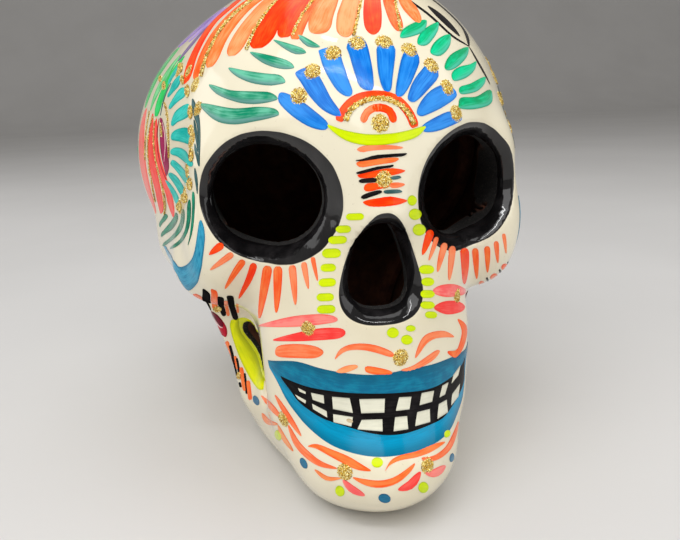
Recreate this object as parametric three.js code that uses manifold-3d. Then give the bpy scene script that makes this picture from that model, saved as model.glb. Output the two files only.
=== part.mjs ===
// A hollow skull of glazed clay, pressed in two halves that are closed by a coil along the inside
// of the seam, with raised dabs of gold glitter on the front and the temples.
// Millimetres, +Z up. The face looks along -Y, and the origin is on the floor under the middle.
import * as THREE from 'three';
import { mergeVertices } from 'three/addons/utils/BufferGeometryUtils.js';
import Module from 'manifold-3d';

const wasm = await Module();
wasm.setup();

// Overall sizes. The two halves share one wall.
const skullWidth = 111;
const skullLength = 150;
const skullHeight = 127;
const wallThickness = 4.5;

// Eye sockets: a shallow round dish with an opening in its floor.
const socketRadius = 14.6;
const socketDepth = 3;
const eyeOpeningRadius = 11.5;

// Nose: a pear-shaped dish and opening, widest below its middle.
const noseHalfWidth = 8.1;
const noseHalfHeight = 12.3;
const noseDepth = 3;
const noseOpeningHalfWidth = 6;
const noseOpeningHalfHeight = 9.6;

// Hollow beside the mouth on each side, between the muzzle and the jaw, with a slot through it.
const recessRadius = 4.8;
const slotLength = 14.6;
const slotWidth = 4.6;

// Hole in the flat base, set towards the face.
const baseOpeningWidth = 24;
const baseOpeningLength = 36;
const baseOpeningForward = 8;

// Seam between the halves, and the coil that backs it inside.
const seamPlace = 15;
const coilRadius = 2.6;

// Dabs of gold glitter.
const dabRadius = 2;
const dabHeight = 0.8;
const fanRadius = 17.5;
const templeHalfLength = 19.5;
const templeHalfHeight = 17;

// Clearance between touching pieces, and how far every cutter runs past what it cuts.
const fitGap = 0.3;
const cutOverrun = 10;

// The outside is one soft union of swellings. Each row of round swellings has its middle as shares
// of the width, length and height, its half sizes as shares of the same, and how softly it blends
// into the rest as a share of the width. Paired ones lie on both sides.
const cranium = { centreShares: [0, 0.117, 0.622], halfShares: [0.5, 0.383, 0.374], blendShare: 0 };
const forehead = { centreShares: [0, -0.127, 0.646], halfShares: [0.374, 0.31, 0.343], blendShare: 0.144 };
const core = { centreShares: [0, -0.013, 0.315], halfShares: [0.27, 0.32, 0.346], blendShare: 0.117 };
const footing = { centreShares: [0, -0.05, 0.063], halfShares: [0.235, 0.265, 0.1], blendShare: 0.1 };
const maxilla = { centreShares: [0, -0.273, 0.37], halfShares: [0.216, 0.17, 0.22], blendShare: 0.099 };
const cheekbone = {
  paired: true, centreShares: [0.297, -0.207, 0.465], halfShares: [0.081, 0.113, 0.098], blendShare: 0.081,
};
const muzzle = { centreShares: [0, -0.28, 0.213], halfShares: [0.203, 0.17, 0.165], blendShare: 0.081 };
const chin = { centreShares: [0, -0.379, 0.11], halfShares: [0.144, 0.123, 0.098], blendShare: 0.072 };

// Rounded bars run from one end to the other, with a radius at each end as a share of the width.
const baseRim = {
  paired: true, fromShares: [0.072, -0.32, 0.058], toShares: [0.15, 0.12, 0.062],
  endRadiusShares: [0.081, 0.081], blendShare: 0.108,
};
const cheekArch = {
  paired: true, fromShares: [0.333, -0.173, 0.43], toShares: [0.384, 0.035, 0.423],
  endRadiusShares: [0.063, 0.067], blendShare: 0.085,
};
const orbitRim = {
  paired: true, fromShares: [0.275, -0.283, 0.63], toShares: [0.286, -0.277, 0.535],
  endRadiusShares: [0.043, 0.043], blendShare: 0.108,
};
const noseRidge = {
  fromShares: [0, -0.373, 0.709], toShares: [0, -0.423, 0.559], endRadiusShares: [0.045, 0.045],
  blendShare: 0.072,
};
const muzzleCorner = {
  paired: true, fromShares: [0.14, -0.32, 0.315], toShares: [0.14, -0.32, 0.189],
  endRadiusShares: [0.063, 0.063], blendShare: 0.072,
};
const jaw = {
  paired: true, fromShares: [0.068, -0.367, 0.106], toShares: [0.198, -0.113, 0.13],
  endRadiusShares: [0.086, 0.059], blendShare: 0.081,
};
const jawBranch = {
  paired: true, fromShares: [0.203, -0.113, 0.134], toShares: [0.288, -0.097, 0.346],
  endRadiusShares: [0.063, 0.059], blendShare: 0.045,
};
const swellings = [
  cranium, forehead, core, baseRim, footing, maxilla, cheekbone, cheekArch, orbitRim, noseRidge,
  muzzle, muzzleCorner, jaw, jawBranch, chin,
];

// Places of the features, as shares of the width, length and height.
const heartShares = [0, -0.167, 0.457];
const socketPlaceShares = [0.2025, 0, 0.586];
const nosePlaceShares = [0, 0, 0.472];
const recessTopShares = [0.266, -0.2, 0.323];
const recessFootShares = [0.239, -0.24, 0.189];
const slotTopShares = [0.246, -0.165, 0.274];
const slotFootShares = [0.221, -0.2, 0.2165];
const slotOutwardShares = [0.8, -0.55, -0.1];

// The nose is wider below: its half width grows by this share from the middle to the foot.
const noseFlareShare = 0.45;
const noseSquareness = 2.6;
// A dish falls from its border to its floor between these shares of its radius.
const dishFloorShare = 0.74;
const dishBorderShare = 1.04;
const dishRingShares = [1.015, 0.97, 0.92, 0.86];
// Behind a dish the inside follows more softly.
const bulgeFloorShare = 0.85;
const bulgeBorderShare = 1.45;
const innerBlendShare = 0.036;

const outerDetail = 14;
const innerDetail = 9;
const ringPoints = 28;

const toPlace = ([x, y, z]) => new THREE.Vector3(x * skullWidth, y * skullLength, z * skullHeight);
const heart = toPlace(heartShares);
const probe = new THREE.Vector3();
const scaled = new THREE.Vector3();

// Distance to an ellipsoid, near enough to blend by.
function roundDistance(point, centre, half) {
  probe.subVectors(point, centre).divide(half);
  const reach = probe.length();
  const steepness = probe.divide(half).length();
  return steepness === 0 ? -half.x : reach * (reach - 1) / steepness;
}

// Distance to a rounded bar whose radius changes evenly along it.
function barDistance(point, from, along, radii) {
  probe.subVectors(point, from);
  const share = THREE.MathUtils.clamp(probe.dot(along) / along.lengthSq(), 0, 1);
  return probe.addScaledVector(along, -share).length() - THREE.MathUtils.lerp(radii[0], radii[1], share);
}

function softUnion(a, b, blend) {
  if (blend === 0) return Math.min(a, b);
  const overlap = Math.max(blend - Math.abs(a - b), 0) / blend;
  return Math.min(a, b) - overlap * overlap * blend / 4;
}

const softCut = (a, b, blend) => -softUnion(-a, -b, blend);

const forms = swellings.map((row) => {
  const blend = row.blendShare * skullWidth;
  if (row.halfShares) {
    const centre = toPlace(row.centreShares);
    const half = toPlace(row.halfShares);
    return { paired: row.paired, blend, distance: (point) => roundDistance(point, centre, half) };
  }
  const from = toPlace(row.fromShares);
  const along = toPlace(row.toShares).sub(from);
  const radii = row.endRadiusShares.map((share) => share * skullWidth);
  return { paired: row.paired, blend, distance: (point) => barDistance(point, from, along, radii) };
});

// Distance to the outside of the skull before anything is pressed into it.
function outside(point) {
  scaled.set(Math.abs(point.x), point.y, point.z);
  let distance = Infinity;
  for (const form of forms) {
    const own = form.distance(form.paired ? scaled : point);
    distance = distance === Infinity ? own : softUnion(distance, own, form.blend);
  }
  return distance;
}

// How far out a place lies from the middle of a socket or of the nose, 1 at the border.
const socketPlace = toPlace(socketPlaceShares);
const nosePlace = toPlace(nosePlaceShares);

function socketReach(point) {
  return Math.hypot(Math.abs(point.x) - socketPlace.x, point.z - socketPlace.z) / socketRadius;
}

function noseReach(point) {
  const down = (nosePlace.z - point.z) / noseHalfHeight;
  const width = noseHalfWidth * Math.max(1 + noseFlareShare * down, noseFlareShare);
  const sideways = Math.abs(point.x) / width;
  return (sideways ** noseSquareness + Math.abs(down) ** noseSquareness) ** (1 / noseSquareness);
}

const recessTop = toPlace(recessTopShares);
const recessAlong = toPlace(recessFootShares).sub(recessTop);

// Distance to the inside of the wall. It follows the outside, the dishes and the recesses at one
// wall thickness, and ends in a flat floor.
function inside(point) {
  const blend = innerBlendShare * skullWidth;
  let distance = outside(point) + wallThickness;
  if (point.y < heart.y) {
    const bulge = (reach) => 1 - THREE.MathUtils.smoothstep(reach, bulgeFloorShare, bulgeBorderShare);
    distance += socketDepth * bulge(socketReach(point)) + noseDepth * bulge(noseReach(point));
  }
  scaled.set(Math.abs(point.x), point.y, point.z);
  const recess = barDistance(scaled, recessTop, recessAlong, [recessRadius, recessRadius]);
  distance = softCut(distance, wallThickness - recess, blend);
  return softCut(distance, wallThickness - point.z, blend);
}

// Walks from a place outside the skull straight to its surface.
function seatOn(start, direction) {
  const place = start.clone();
  for (let step = 0; step < 200; step += 1) place.addScaledVector(direction, 0.8 * outside(place));
  return place;
}

function outwardAt(place) {
  const slope = new THREE.Vector3();
  const shifted = new THREE.Vector3();
  for (const axis of ['x', 'y', 'z']) {
    shifted.copy(place)[axis] += fitGap;
    const ahead = outside(shifted);
    shifted.copy(place)[axis] -= fitGap;
    slope[axis] = ahead - outside(shifted);
  }
  return slope.normalize();
}

function solidOf(geometry) {
  const plain = geometry.clone();
  plain.deleteAttribute('normal');
  plain.deleteAttribute('uv');
  const merged = mergeVertices(plain);
  return new wasm.Manifold(new wasm.Mesh({
    numProp: 3,
    vertProperties: new Float32Array(merged.attributes.position.array),
    triVerts: new Uint32Array(merged.index.array),
  }));
}

function geometryOf(solid) {
  const mesh = solid.getMesh();
  const geometry = new THREE.BufferGeometry();
  geometry.setAttribute('position', new THREE.BufferAttribute(new Float32Array(mesh.vertProperties), 3));
  geometry.setIndex(new THREE.BufferAttribute(new Uint32Array(mesh.triVerts), 1));
  geometry.computeVertexNormals();
  return geometry;
}

function movedSolid(geometry, place, turn = new THREE.Quaternion()) {
  const matrix = new THREE.Matrix4().compose(place, turn, new THREE.Vector3(1, 1, 1));
  return solidOf(geometry.clone().applyMatrix4(matrix));
}

// A closed surface: every direction of a fine ball is drawn out from the heart until it meets the wall.
function drawnOut(distance, detail) {
  const ball = new THREE.IcosahedronGeometry(1, detail);
  ball.deleteAttribute('normal');
  ball.deleteAttribute('uv');
  const skin = mergeVertices(ball);
  const places = skin.attributes.position;
  const direction = new THREE.Vector3();
  const place = new THREE.Vector3();
  for (let index = 0; index < places.count; index += 1) {
    direction.fromBufferAttribute(places, index).normalize();
    let near = 0;
    let far = skullLength;
    for (let step = 0; step < 40; step += 1) {
      const middle = (near + far) / 2;
      place.copy(heart).addScaledVector(direction, middle);
      if (distance(place) < 0) near = middle;
      else far = middle;
    }
    places.setXYZ(index, place.x, place.y, place.z);
  }
  return solidOf(skin);
}

// A solid through a row of rings, closed by a fan at each end. The rings run anticlockwise seen from
// the first one, and a row that returns to its start gives a ring-shaped solid.
function loft(rings, returns = false) {
  const count = rings[0].length;
  const places = rings.flat();
  const faces = [];
  const last = returns ? rings.length : rings.length - 1;
  for (let row = 0; row < last; row += 1) {
    const next = (row + 1) % rings.length;
    for (let index = 0; index < count; index += 1) {
      const after = (index + 1) % count;
      const a = row * count + index;
      const b = row * count + after;
      const c = next * count + after;
      const d = next * count + index;
      faces.push(a, d, b, b, d, c);
    }
  }
  if (!returns) {
    for (const [ring, start, swap] of [[rings[0], 0, false], [rings.at(-1), last * count, true]]) {
      const middle = new THREE.Vector3();
      for (const place of ring) middle.addScaledVector(place, 1 / count);
      const hub = places.push(middle) - 1;
      for (let index = 0; index < count; index += 1) {
        const after = (index + 1) % count;
        if (swap) faces.push(hub, start + after, start + index);
        else faces.push(hub, start + index, start + after);
      }
    }
  }
  const geometry = new THREE.BufferGeometry().setFromPoints(places);
  geometry.setIndex(faces);
  geometry.computeVertexNormals();
  return geometry;
}

// Cutter for a dish with an opening in its floor. It follows the curved face: the border lies on the
// surface, the floor a fixed depth under it, and the opening goes straight back through the wall.
function dishCutter(outline, depth, openingShare) {
  const ringAt = (reach, back) => {
    const ring = [];
    for (let index = 0; index < ringPoints; index += 1) {
      const place = outline(2 * Math.PI * index / ringPoints, reach);
      place.y = -skullLength;
      const seat = seatOn(place, new THREE.Vector3(0, 1, 0));
      ring.push(seat.setY(seat.y + back));
    }
    return ring;
  };
  const fall = (reach) => 1 - THREE.MathUtils.smoothstep(reach, dishFloorShare, dishBorderShare);
  const rings = [ringAt(dishBorderShare, -cutOverrun)];
  for (const reach of dishRingShares) rings.push(ringAt(reach, depth * fall(reach)));
  rings.push(ringAt(openingShare, depth));
  rings.push(ringAt(openingShare, depth + wallThickness + cutOverrun));
  return solidOf(loft(rings));
}

function socketOutline(side) {
  return (angle, reach) => new THREE.Vector3(
    side * socketPlace.x + reach * socketRadius * Math.cos(angle), 0,
    socketPlace.z + reach * socketRadius * Math.sin(angle),
  );
}

// The nose opening is a little slimmer than its border.
const noseHoleShare = noseOpeningHalfHeight / noseHalfHeight;
const noseNarrowing = noseOpeningHalfWidth / noseHalfWidth / noseHoleShare;

function noseOutline(angle, reach) {
  const across = Math.cos(angle);
  const up = Math.sin(angle);
  const sideways = Math.sign(across) * Math.abs(across) ** (2 / noseSquareness);
  const down = -Math.sign(up) * Math.abs(up) ** (2 / noseSquareness) * reach;
  const width = noseHalfWidth * (1 + noseFlareShare * down);
  const narrowing = THREE.MathUtils.mapLinear(reach, noseHoleShare, 1, noseNarrowing, 1);
  return new THREE.Vector3(
    narrowing * width * sideways * reach, 0, nosePlace.z - down * noseHalfHeight,
  );
}

// The recess is a rounded bar pressed in from the side, and the slot goes on through the wall.
function recessCutter(side) {
  const bar = new THREE.CapsuleGeometry(recessRadius, recessAlong.length(), 5, 16);
  const middle = recessTop.clone().addScaledVector(recessAlong, 0.5);
  middle.x *= side;
  const along = recessAlong.clone().normalize();
  along.x *= side;
  return movedSolid(bar, middle, new THREE.Quaternion().setFromUnitVectors(new THREE.Vector3(0, 1, 0), along));
}

function slotCutter(side) {
  const straight = (slotLength - slotWidth) / 2;
  const outline = new THREE.Shape();
  outline.absarc(0, straight, slotWidth / 2, 0, Math.PI);
  outline.absarc(0, -straight, slotWidth / 2, Math.PI, 2 * Math.PI);
  outline.closePath();
  const depth = 2 * (wallThickness + recessRadius);
  const bar = new THREE.ExtrudeGeometry(outline, { depth, bevelEnabled: false, curveSegments: 6 });
  bar.translate(0, 0, -depth / 2);
  const top = toPlace(slotTopShares);
  const foot = toPlace(slotFootShares);
  const middle = top.clone().add(foot).multiplyScalar(0.5);
  const upright = top.sub(foot).normalize();
  const outward = new THREE.Vector3(...slotOutwardShares);
  outward.addScaledVector(upright, -outward.dot(upright)).normalize();
  for (const vector of [middle, upright, outward]) vector.x *= side;
  const across = new THREE.Vector3().crossVectors(upright, outward);
  const frame = new THREE.Matrix4().makeBasis(across, upright, outward);
  return movedSolid(bar, middle, new THREE.Quaternion().setFromRotationMatrix(frame));
}

// The base opening is an ellipse through the floor.
function baseCutter() {
  const outline = new THREE.Shape();
  outline.absellipse(0, -baseOpeningForward, baseOpeningWidth / 2, baseOpeningLength / 2, 0, 2 * Math.PI);
  const depth = 2 * wallThickness + cutOverrun;
  const plug = new THREE.ExtrudeGeometry(outline, { depth, bevelEnabled: false, curveSegments: 28 });
  return movedSolid(plug, new THREE.Vector3(0, 0, -cutOverrun));
}

function block(width, length, height, x, y, z) {
  return movedSolid(new THREE.BoxGeometry(width, length, height), new THREE.Vector3(x, y, z));
}

// The whole skull: outside less inside, flat below, then everything that is pressed or cut into it.
function wholeSkull() {
  const cutters = [
    drawnOut(inside, innerDetail),
    block(2 * skullWidth, 2 * skullLength, skullHeight, 0, 0, -skullHeight / 2),
    dishCutter(noseOutline, noseDepth, noseHoleShare),
    baseCutter(),
  ];
  for (const side of [-1, 1]) {
    cutters.push(dishCutter(socketOutline(side), socketDepth, eyeOpeningRadius / socketRadius));
    cutters.push(recessCutter(side), slotCutter(side));
  }
  return cutters.reduce((solid, cutter) => solid.subtract(cutter), drawnOut(outside, outerDetail));
}

// Path of the coil: at each angle round the hollow it is pushed out along the seam until it is one
// gap short of the wall.
function coilRing() {
  const stations = 48;
  const sides = 8;
  const clear = (place) => inside(place) < -(coilRadius + fitGap);
  const middle = new THREE.Vector3(0, seamPlace, heart.z);
  const path = [];
  for (let index = 0; index < stations; index += 1) {
    const angle = 2 * Math.PI * index / stations;
    const outward = new THREE.Vector3(Math.cos(angle), 0, Math.sin(angle));
    let near = 0;
    let far = skullHeight;
    for (let step = 0; step < 40; step += 1) {
      const reach = (near + far) / 2;
      if (clear(middle.clone().addScaledVector(outward, reach))) near = reach;
      else far = reach;
    }
    path.push(middle.clone().addScaledVector(outward, near));
  }
  const rings = path.map((place, index) => {
    const before = path.at(index - 1);
    const after = path[(index + 1) % stations];
    const along = after.clone().sub(before).normalize();
    const back = new THREE.Vector3(0, 1, 0);
    const outward = new THREE.Vector3().crossVectors(back, along).normalize();
    return Array.from({ length: sides }, (_, turn) => {
      const angle = 2 * Math.PI * turn / sides;
      return place.clone()
        .addScaledVector(outward, coilRadius * Math.cos(angle))
        .addScaledVector(back, -coilRadius * Math.sin(angle));
    });
  });
  return loft(rings, true);
}

const glaze = { roughness: 0.3, metalness: 0 };
const group = new THREE.Group();

function addPiece(name, geometry, look) {
  const mesh = new THREE.Mesh(geometry, new THREE.MeshStandardMaterial(look));
  mesh.name = name;
  group.add(mesh);
  return mesh;
}

const skull = wholeSkull();
const halfLength = 2 * skullLength;
const frontBlock = block(
  2 * skullWidth, halfLength, 3 * skullHeight, 0, seamPlace - fitGap / 2 - halfLength / 2, 0,
);
const backBlock = block(
  2 * skullWidth, halfLength, 3 * skullHeight, 0, seamPlace + fitGap / 2 + halfLength / 2, 0,
);
addPiece('face_shell', geometryOf(skull.intersect(frontBlock)), { color: 0xe9e2d0, ...glaze });
addPiece('cranium_shell', geometryOf(skull.intersect(backBlock)), { color: 0xe6dfcc, ...glaze });
addPiece('seam_coil', coilRing(), { color: 0x8a4f35, roughness: 0.9, metalness: 0 });

// A dab is a low dome, round in plan, that sits on the glaze.
const domeShares = [[0, 0], [1, 0], [0.82, 0.55], [0.42, 0.9], [0, 1]];
let dabCount = 0;

function addDab(start, direction, sizeShare = 1) {
  const seat = seatOn(start, direction);
  const outward = outwardAt(seat);
  const profile = domeShares.map(([radius, height]) => (
    new THREE.Vector2(radius * dabRadius * sizeShare, height * dabHeight)
  ));
  dabCount += 1;
  const name = `gold_dab_${String(dabCount).padStart(2, '0')}`;
  const look = { color: 0xc8932e, roughness: 0.35, metalness: 0.8 };
  const dab = addPiece(name, new THREE.LatheGeometry(profile, 8), look);
  dab.quaternion.setFromUnitVectors(new THREE.Vector3(0, 1, 0), outward);
  dab.position.copy(seat).addScaledVector(outward, fitGap);
}

const backwards = new THREE.Vector3(0, 1, 0);

// Nine dabs end the nine petals of the fan above the eyes.
const fanCount = 9;
const fanPlaceShares = [0.004, 0, 0.697];
const fanStart = THREE.MathUtils.degToRad(156);
const fanEnd = THREE.MathUtils.degToRad(8);
for (let index = 0; index < fanCount; index += 1) {
  const angle = THREE.MathUtils.lerp(fanStart, fanEnd, index / (fanCount - 1));
  const place = toPlace(fanPlaceShares).setY(-skullLength);
  place.x += fanRadius * Math.cos(angle);
  place.z += fanRadius * Math.sin(angle);
  addDab(place, backwards, 0.9);
}

// Single dabs on the front: across and up as shares of the width and height, then a size share.
const frontDabShares = [
  [0, 0.708, 1], [0, 0.622, 1.05], [0.03, 0.316, 1.1], [-0.142, 0.366, 0.8], [0.177, 0.392, 0.9],
  [-0.095, 0.132, 0.8], [-0.197, 0.18, 0.8], [0.068, 0.134, 0.9],
];
for (const [across, up, sizeShare] of frontDabShares) {
  const place = toPlace([across, 0, up]).setY(-skullLength);
  addDab(place, backwards, sizeShare);
}

// Eight dabs on each temple end the petals round the almond there.
const templeCount = 8;
const templePlaceShares = [0, -0.147, 0.677];
const templeStart = THREE.MathUtils.degToRad(83);
const templeEnd = THREE.MathUtils.degToRad(248);
for (const side of [-1, 1]) {
  for (let index = 0; index < templeCount; index += 1) {
    const angle = THREE.MathUtils.lerp(templeStart, templeEnd, index / (templeCount - 1));
    const place = toPlace(templePlaceShares).setX(side * skullWidth);
    place.y += templeHalfLength * Math.cos(angle);
    place.z += templeHalfHeight * Math.sin(angle);
    addDab(place, new THREE.Vector3(-side, 0, 0), 0.9);
  }
}

export default group;
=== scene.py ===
import math
import bpy
import numpy as np
from mathutils import Matrix, Vector


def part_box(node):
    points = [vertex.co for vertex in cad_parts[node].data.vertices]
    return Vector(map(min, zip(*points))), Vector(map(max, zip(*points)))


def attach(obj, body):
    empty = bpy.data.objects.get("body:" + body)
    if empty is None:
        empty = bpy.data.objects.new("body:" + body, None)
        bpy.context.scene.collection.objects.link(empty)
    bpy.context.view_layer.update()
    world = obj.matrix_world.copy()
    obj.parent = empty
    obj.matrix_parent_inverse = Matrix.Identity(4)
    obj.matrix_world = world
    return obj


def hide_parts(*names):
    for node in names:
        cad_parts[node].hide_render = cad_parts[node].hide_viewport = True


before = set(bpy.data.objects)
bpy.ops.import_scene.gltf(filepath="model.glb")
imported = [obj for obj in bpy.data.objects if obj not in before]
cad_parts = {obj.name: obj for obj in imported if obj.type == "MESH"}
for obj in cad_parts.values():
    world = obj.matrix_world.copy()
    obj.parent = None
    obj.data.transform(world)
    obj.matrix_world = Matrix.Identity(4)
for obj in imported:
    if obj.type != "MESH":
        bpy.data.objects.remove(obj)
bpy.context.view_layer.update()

MM = 0.001
rng = np.random.default_rng(11)

# Form of the skull, in millimetres
W, L, H = 111.0, 150.0, 127.0
SIZE = np.array([W, L, H], np.float32)
WALL = 4.5
# Swellings, in shares of the size: e has its middle and half sizes, c has its ends and radii; then
# the width of the soft union. The second value says whether it is on both sides.
FORM = [
    ("e", 0, (0, .117, .622), (.500, .383, .374), 0),
    ("e", 0, (0, -.127, .646), (.374, .310, .343), .144),
    ("e", 0, (0, -.013, .315), (.270, .320, .346), .117),
    ("c", 1, (.072, -.320, .058), (.150, .120, .062), .081, .081, .108),
    ("e", 0, (0, -.050, .063), (.235, .265, .100), .100),
    ("e", 0, (0, -.273, .370), (.216, .170, .220), .099),
    ("e", 1, (.297, -.207, .465), (.081, .113, .098), .081),
    ("c", 1, (.333, -.173, .430), (.384, .035, .423), .063, .067, .085),
    ("c", 1, (.275, -.283, .630), (.286, -.277, .535), .043, .043, .108),
    ("c", 0, (0, -.373, .709), (0, -.423, .559), .045, .045, .072),
    ("e", 0, (0, -.280, .213), (.203, .170, .165), .081),
    ("c", 1, (.140, -.320, .315), (.140, -.320, .189), .063, .063, .072),
    ("c", 1, (.068, -.367, .106), (.198, -.113, .130), .086, .059, .081),
    ("c", 1, (.203, -.113, .134), (.288, -.097, .346), .063, .059, .045),
    ("e", 0, (0, -.379, .110), (.144, .123, .098), .072),
]
FACE_Y, BLACK_Y = -15, -30
EYE_X, EYE_Z, EYE_R, EYE_HOLE, EYE_DEPTH = .2025 * W, .586 * H, 14.6, 11.5, 3.0
NOSE_Z, NOSE_W, NOSE_H, NOSE_FLARE, NOSE_N, NOSE_DEPTH = .472 * H, 8.1, 12.3, .45, 2.6, 3.0
NOSE_HOLE, NOSE_LEAST = 9.6 / NOSE_H, .35
NOSE_SLIM = 6.0 / NOSE_W / NOSE_HOLE
EYE_SLOPE_SHARES, NOSE_SLOPE_SHARES = (.74, 1.04), (.66, 1.04)
RECESS_TOP_SHARES, RECESS_FOOT_SHARES, RECESS_R = (.266, -.200, .323), (.239, -.240, .189), 4.8
SLOT_TOP_SHARES, SLOT_FOOT_SHARES = (.246, -.165, .274), (.221, -.200, .2165)
SLOT_HALF, SLOT_R, SLOT_REACH = 5.0, 2.3, 9
BASE_HOLE_X, BASE_HOLE_Y, BASE_HOLE_MID, BASE_HOLE_TOP = 12, 18, -8, 12
ROUND_RECESS, ROUND_FOOT, ROUND_HOLLOW, ROUND_RIM, ROUND_HOLES = 2.5, 2.0, 4, 1.0, 1.2


def length(p):
    return np.sqrt((p * p).sum(-1))


def unit(v):
    return v / np.maximum(np.linalg.norm(v, axis=-1, keepdims=True), 1e-9)


def ellipsoid(p, c, r):
    q = p - c
    k0 = length(q / r)
    k1 = length(q / (r * r))
    return k0 * (k0 - 1) / np.maximum(k1, 1e-6)


def capsule(p, a, b, ra, rb):
    ab = b - a
    h = np.clip(((p - a) @ ab) / (ab @ ab), 0, 1)
    return length(p - a - h[..., None] * ab) - (ra + (rb - ra) * h)


def smin(a, b, k):
    h = np.maximum(k - np.abs(a - b), 0) / k
    return np.minimum(a, b) - h * h * k * 0.25


def smax(a, b, k):
    return -smin(-a, -b, k)


def smooth(a, b, x):
    t = np.clip((x - a) / (b - a), 0, 1)
    return t * t * (3 - 2 * t)


def share(v):
    return np.array(v, np.float32) * SIZE


def mirrored(p):
    m = p.copy()
    m[..., 0] = np.abs(m[..., 0])
    return m


def outer(p):
    """Distance to the skull before anything is cut into it."""
    m = mirrored(p)
    d = None
    for kind, both_sides, one, two, *rest in FORM:
        q = m if both_sides else p
        *radii, blend = [value * W for value in rest]
        shape = ellipsoid if kind == "e" else capsule
        s = shape(q, share(one), share(two), *radii)
        d = s if d is None else smin(d, s, blend)
    return d


def eye_rho(p):
    """Distance from the middle of an eye, as a share of its radius."""
    r = np.hypot(np.abs(p[..., 0]) - EYE_X, p[..., 2] - EYE_Z) / EYE_R
    return np.where(p[..., 1] < FACE_Y, r, 9)


def nose_rho(p):
    """Distance from the middle of the nose, as a share of its outline."""
    t = (NOSE_Z - p[..., 2]) / NOSE_H
    w = NOSE_W * np.clip(1 + NOSE_FLARE * t, NOSE_LEAST, 2)
    r = (np.abs(p[..., 0] / w) ** NOSE_N + np.abs(t) ** NOSE_N) ** (1 / NOSE_N)
    return np.where(p[..., 1] < FACE_Y, r, 9)


def dish(p):
    """The skull with its eye sockets, nose and side recesses."""
    recess = capsule(mirrored(p), share(RECESS_TOP_SHARES), share(RECESS_FOOT_SHARES), RECESS_R, RECESS_R)
    d = outer(p)
    d = d + EYE_DEPTH * (1 - smooth(*EYE_SLOPE_SHARES, eye_rho(p)))
    d = d + NOSE_DEPTH * (1 - smooth(*NOSE_SLOPE_SHARES, nose_rho(p)))
    return smax(d, -recess, ROUND_RECESS)


def skin(p):
    """The outside of the skull, with its flat foot."""
    return smax(dish(p), -p[..., 2], ROUND_FOOT)


SLOT_TOP, SLOT_FOOT = share(SLOT_TOP_SHARES), share(SLOT_FOOT_SHARES)
SLOT_MID = (SLOT_TOP + SLOT_FOOT) / 2
SLOT_UP = (SLOT_TOP - SLOT_FOOT) / np.linalg.norm(SLOT_TOP - SLOT_FOOT)
SLOT_OUT = np.array((.8, -.55, -.1), np.float32)
SLOT_OUT = SLOT_OUT - (SLOT_OUT @ SLOT_UP) * SLOT_UP
SLOT_OUT /= np.linalg.norm(SLOT_OUT)
SLOT_SIDE = np.cross(SLOT_UP, SLOT_OUT)


def slot_place(p):
    """How far places lie beside, along and out of the middle of the slot."""
    s = mirrored(p) - SLOT_MID
    return s @ SLOT_SIDE, s @ SLOT_UP, s @ SLOT_OUT


def holes(p):
    m = mirrored(p)
    eye = np.hypot(m[..., 0] - EYE_X, m[..., 2] - EYE_Z) - EYE_HOLE
    slim = p.copy()
    slim[..., 0] = p[..., 0] / NOSE_SLIM
    nose = (nose_rho(slim) - NOSE_HOLE) * NOSE_W
    front = np.maximum(np.minimum(eye, nose), p[..., 1] - FACE_Y)
    beside, along, out_of = slot_place(p)
    slot = np.hypot(np.maximum(np.abs(along) - SLOT_HALF, 0), beside) - SLOT_R
    slot = np.maximum(slot, np.abs(out_of) - SLOT_REACH)
    base = np.hypot(p[..., 0] / BASE_HOLE_X, (p[..., 1] - BASE_HOLE_MID) / BASE_HOLE_Y) - 1
    base = np.maximum(base * BASE_HOLE_X, p[..., 2] - BASE_HOLE_TOP)
    return np.minimum(front, np.minimum(slot, base))


def solid(p):
    """The fired shell: skin, hollow and openings."""
    hollow = smax(dish(p) + WALL, WALL - p[..., 2], ROUND_HOLLOW)
    return smax(smax(skin(p), -hollow, ROUND_RIM), -holes(p), ROUND_HOLES)


def gradient(field, p, step=0.15):
    g = []
    for e in np.eye(3, dtype=np.float32) * np.float32(step):
        g.append((field(p + e) - field(p - e)) / (2 * step))
    return np.stack(g, -1)


def settle(field, p, rounds=3):
    """Moves places to where the field is zero."""
    for _ in range(rounds):
        g = gradient(field, p)
        p = p - (field(p) / np.maximum((g * g).sum(-1), .05))[..., None] * g
    return p


# Camera, fitted to the photograph
PHOTO_W, PHOTO_H = 680, 540
AZ, EL, ROLL = math.radians(-9.8), math.radians(14.2), math.radians(-1.9)
DIST, FOCAL = 191.3, 700.0
TARGET, SHIFT = np.array((0, -18, 65.0)), (-0.4, -16.4)
BACK = np.array((math.sin(AZ) * math.cos(EL), -math.cos(AZ) * math.cos(EL), math.sin(EL)))
LEVEL = np.array((math.cos(AZ), math.sin(AZ), 0))
RISE = np.cross(BACK, LEVEL)
RIGHT = math.cos(ROLL) * LEVEL + math.sin(ROLL) * RISE
UP = -math.sin(ROLL) * LEVEL + math.cos(ROLL) * RISE
EYE = TARGET + BACK * DIST + RIGHT * SHIFT[0] + UP * SHIFT[1]
SENSOR = 36


def linked(name, data):
    obj = bpy.data.objects.new(name, data)
    bpy.context.scene.collection.objects.link(obj)
    return obj


camera_data = bpy.data.cameras.new("camera")
camera_data.sensor_width = SENSOR
camera_data.lens = SENSOR * FOCAL / PHOTO_W
camera_data.clip_start = .01
camera_data.clip_end = 20
camera = linked("camera", camera_data)
camera.matrix_world = Matrix([*np.stack([RIGHT, UP, BACK, EYE * MM], 1).tolist(), (0, 0, 0, 1)])
bpy.context.scene.camera = camera
bpy.context.scene.view_settings.view_transform = "Standard"


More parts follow.
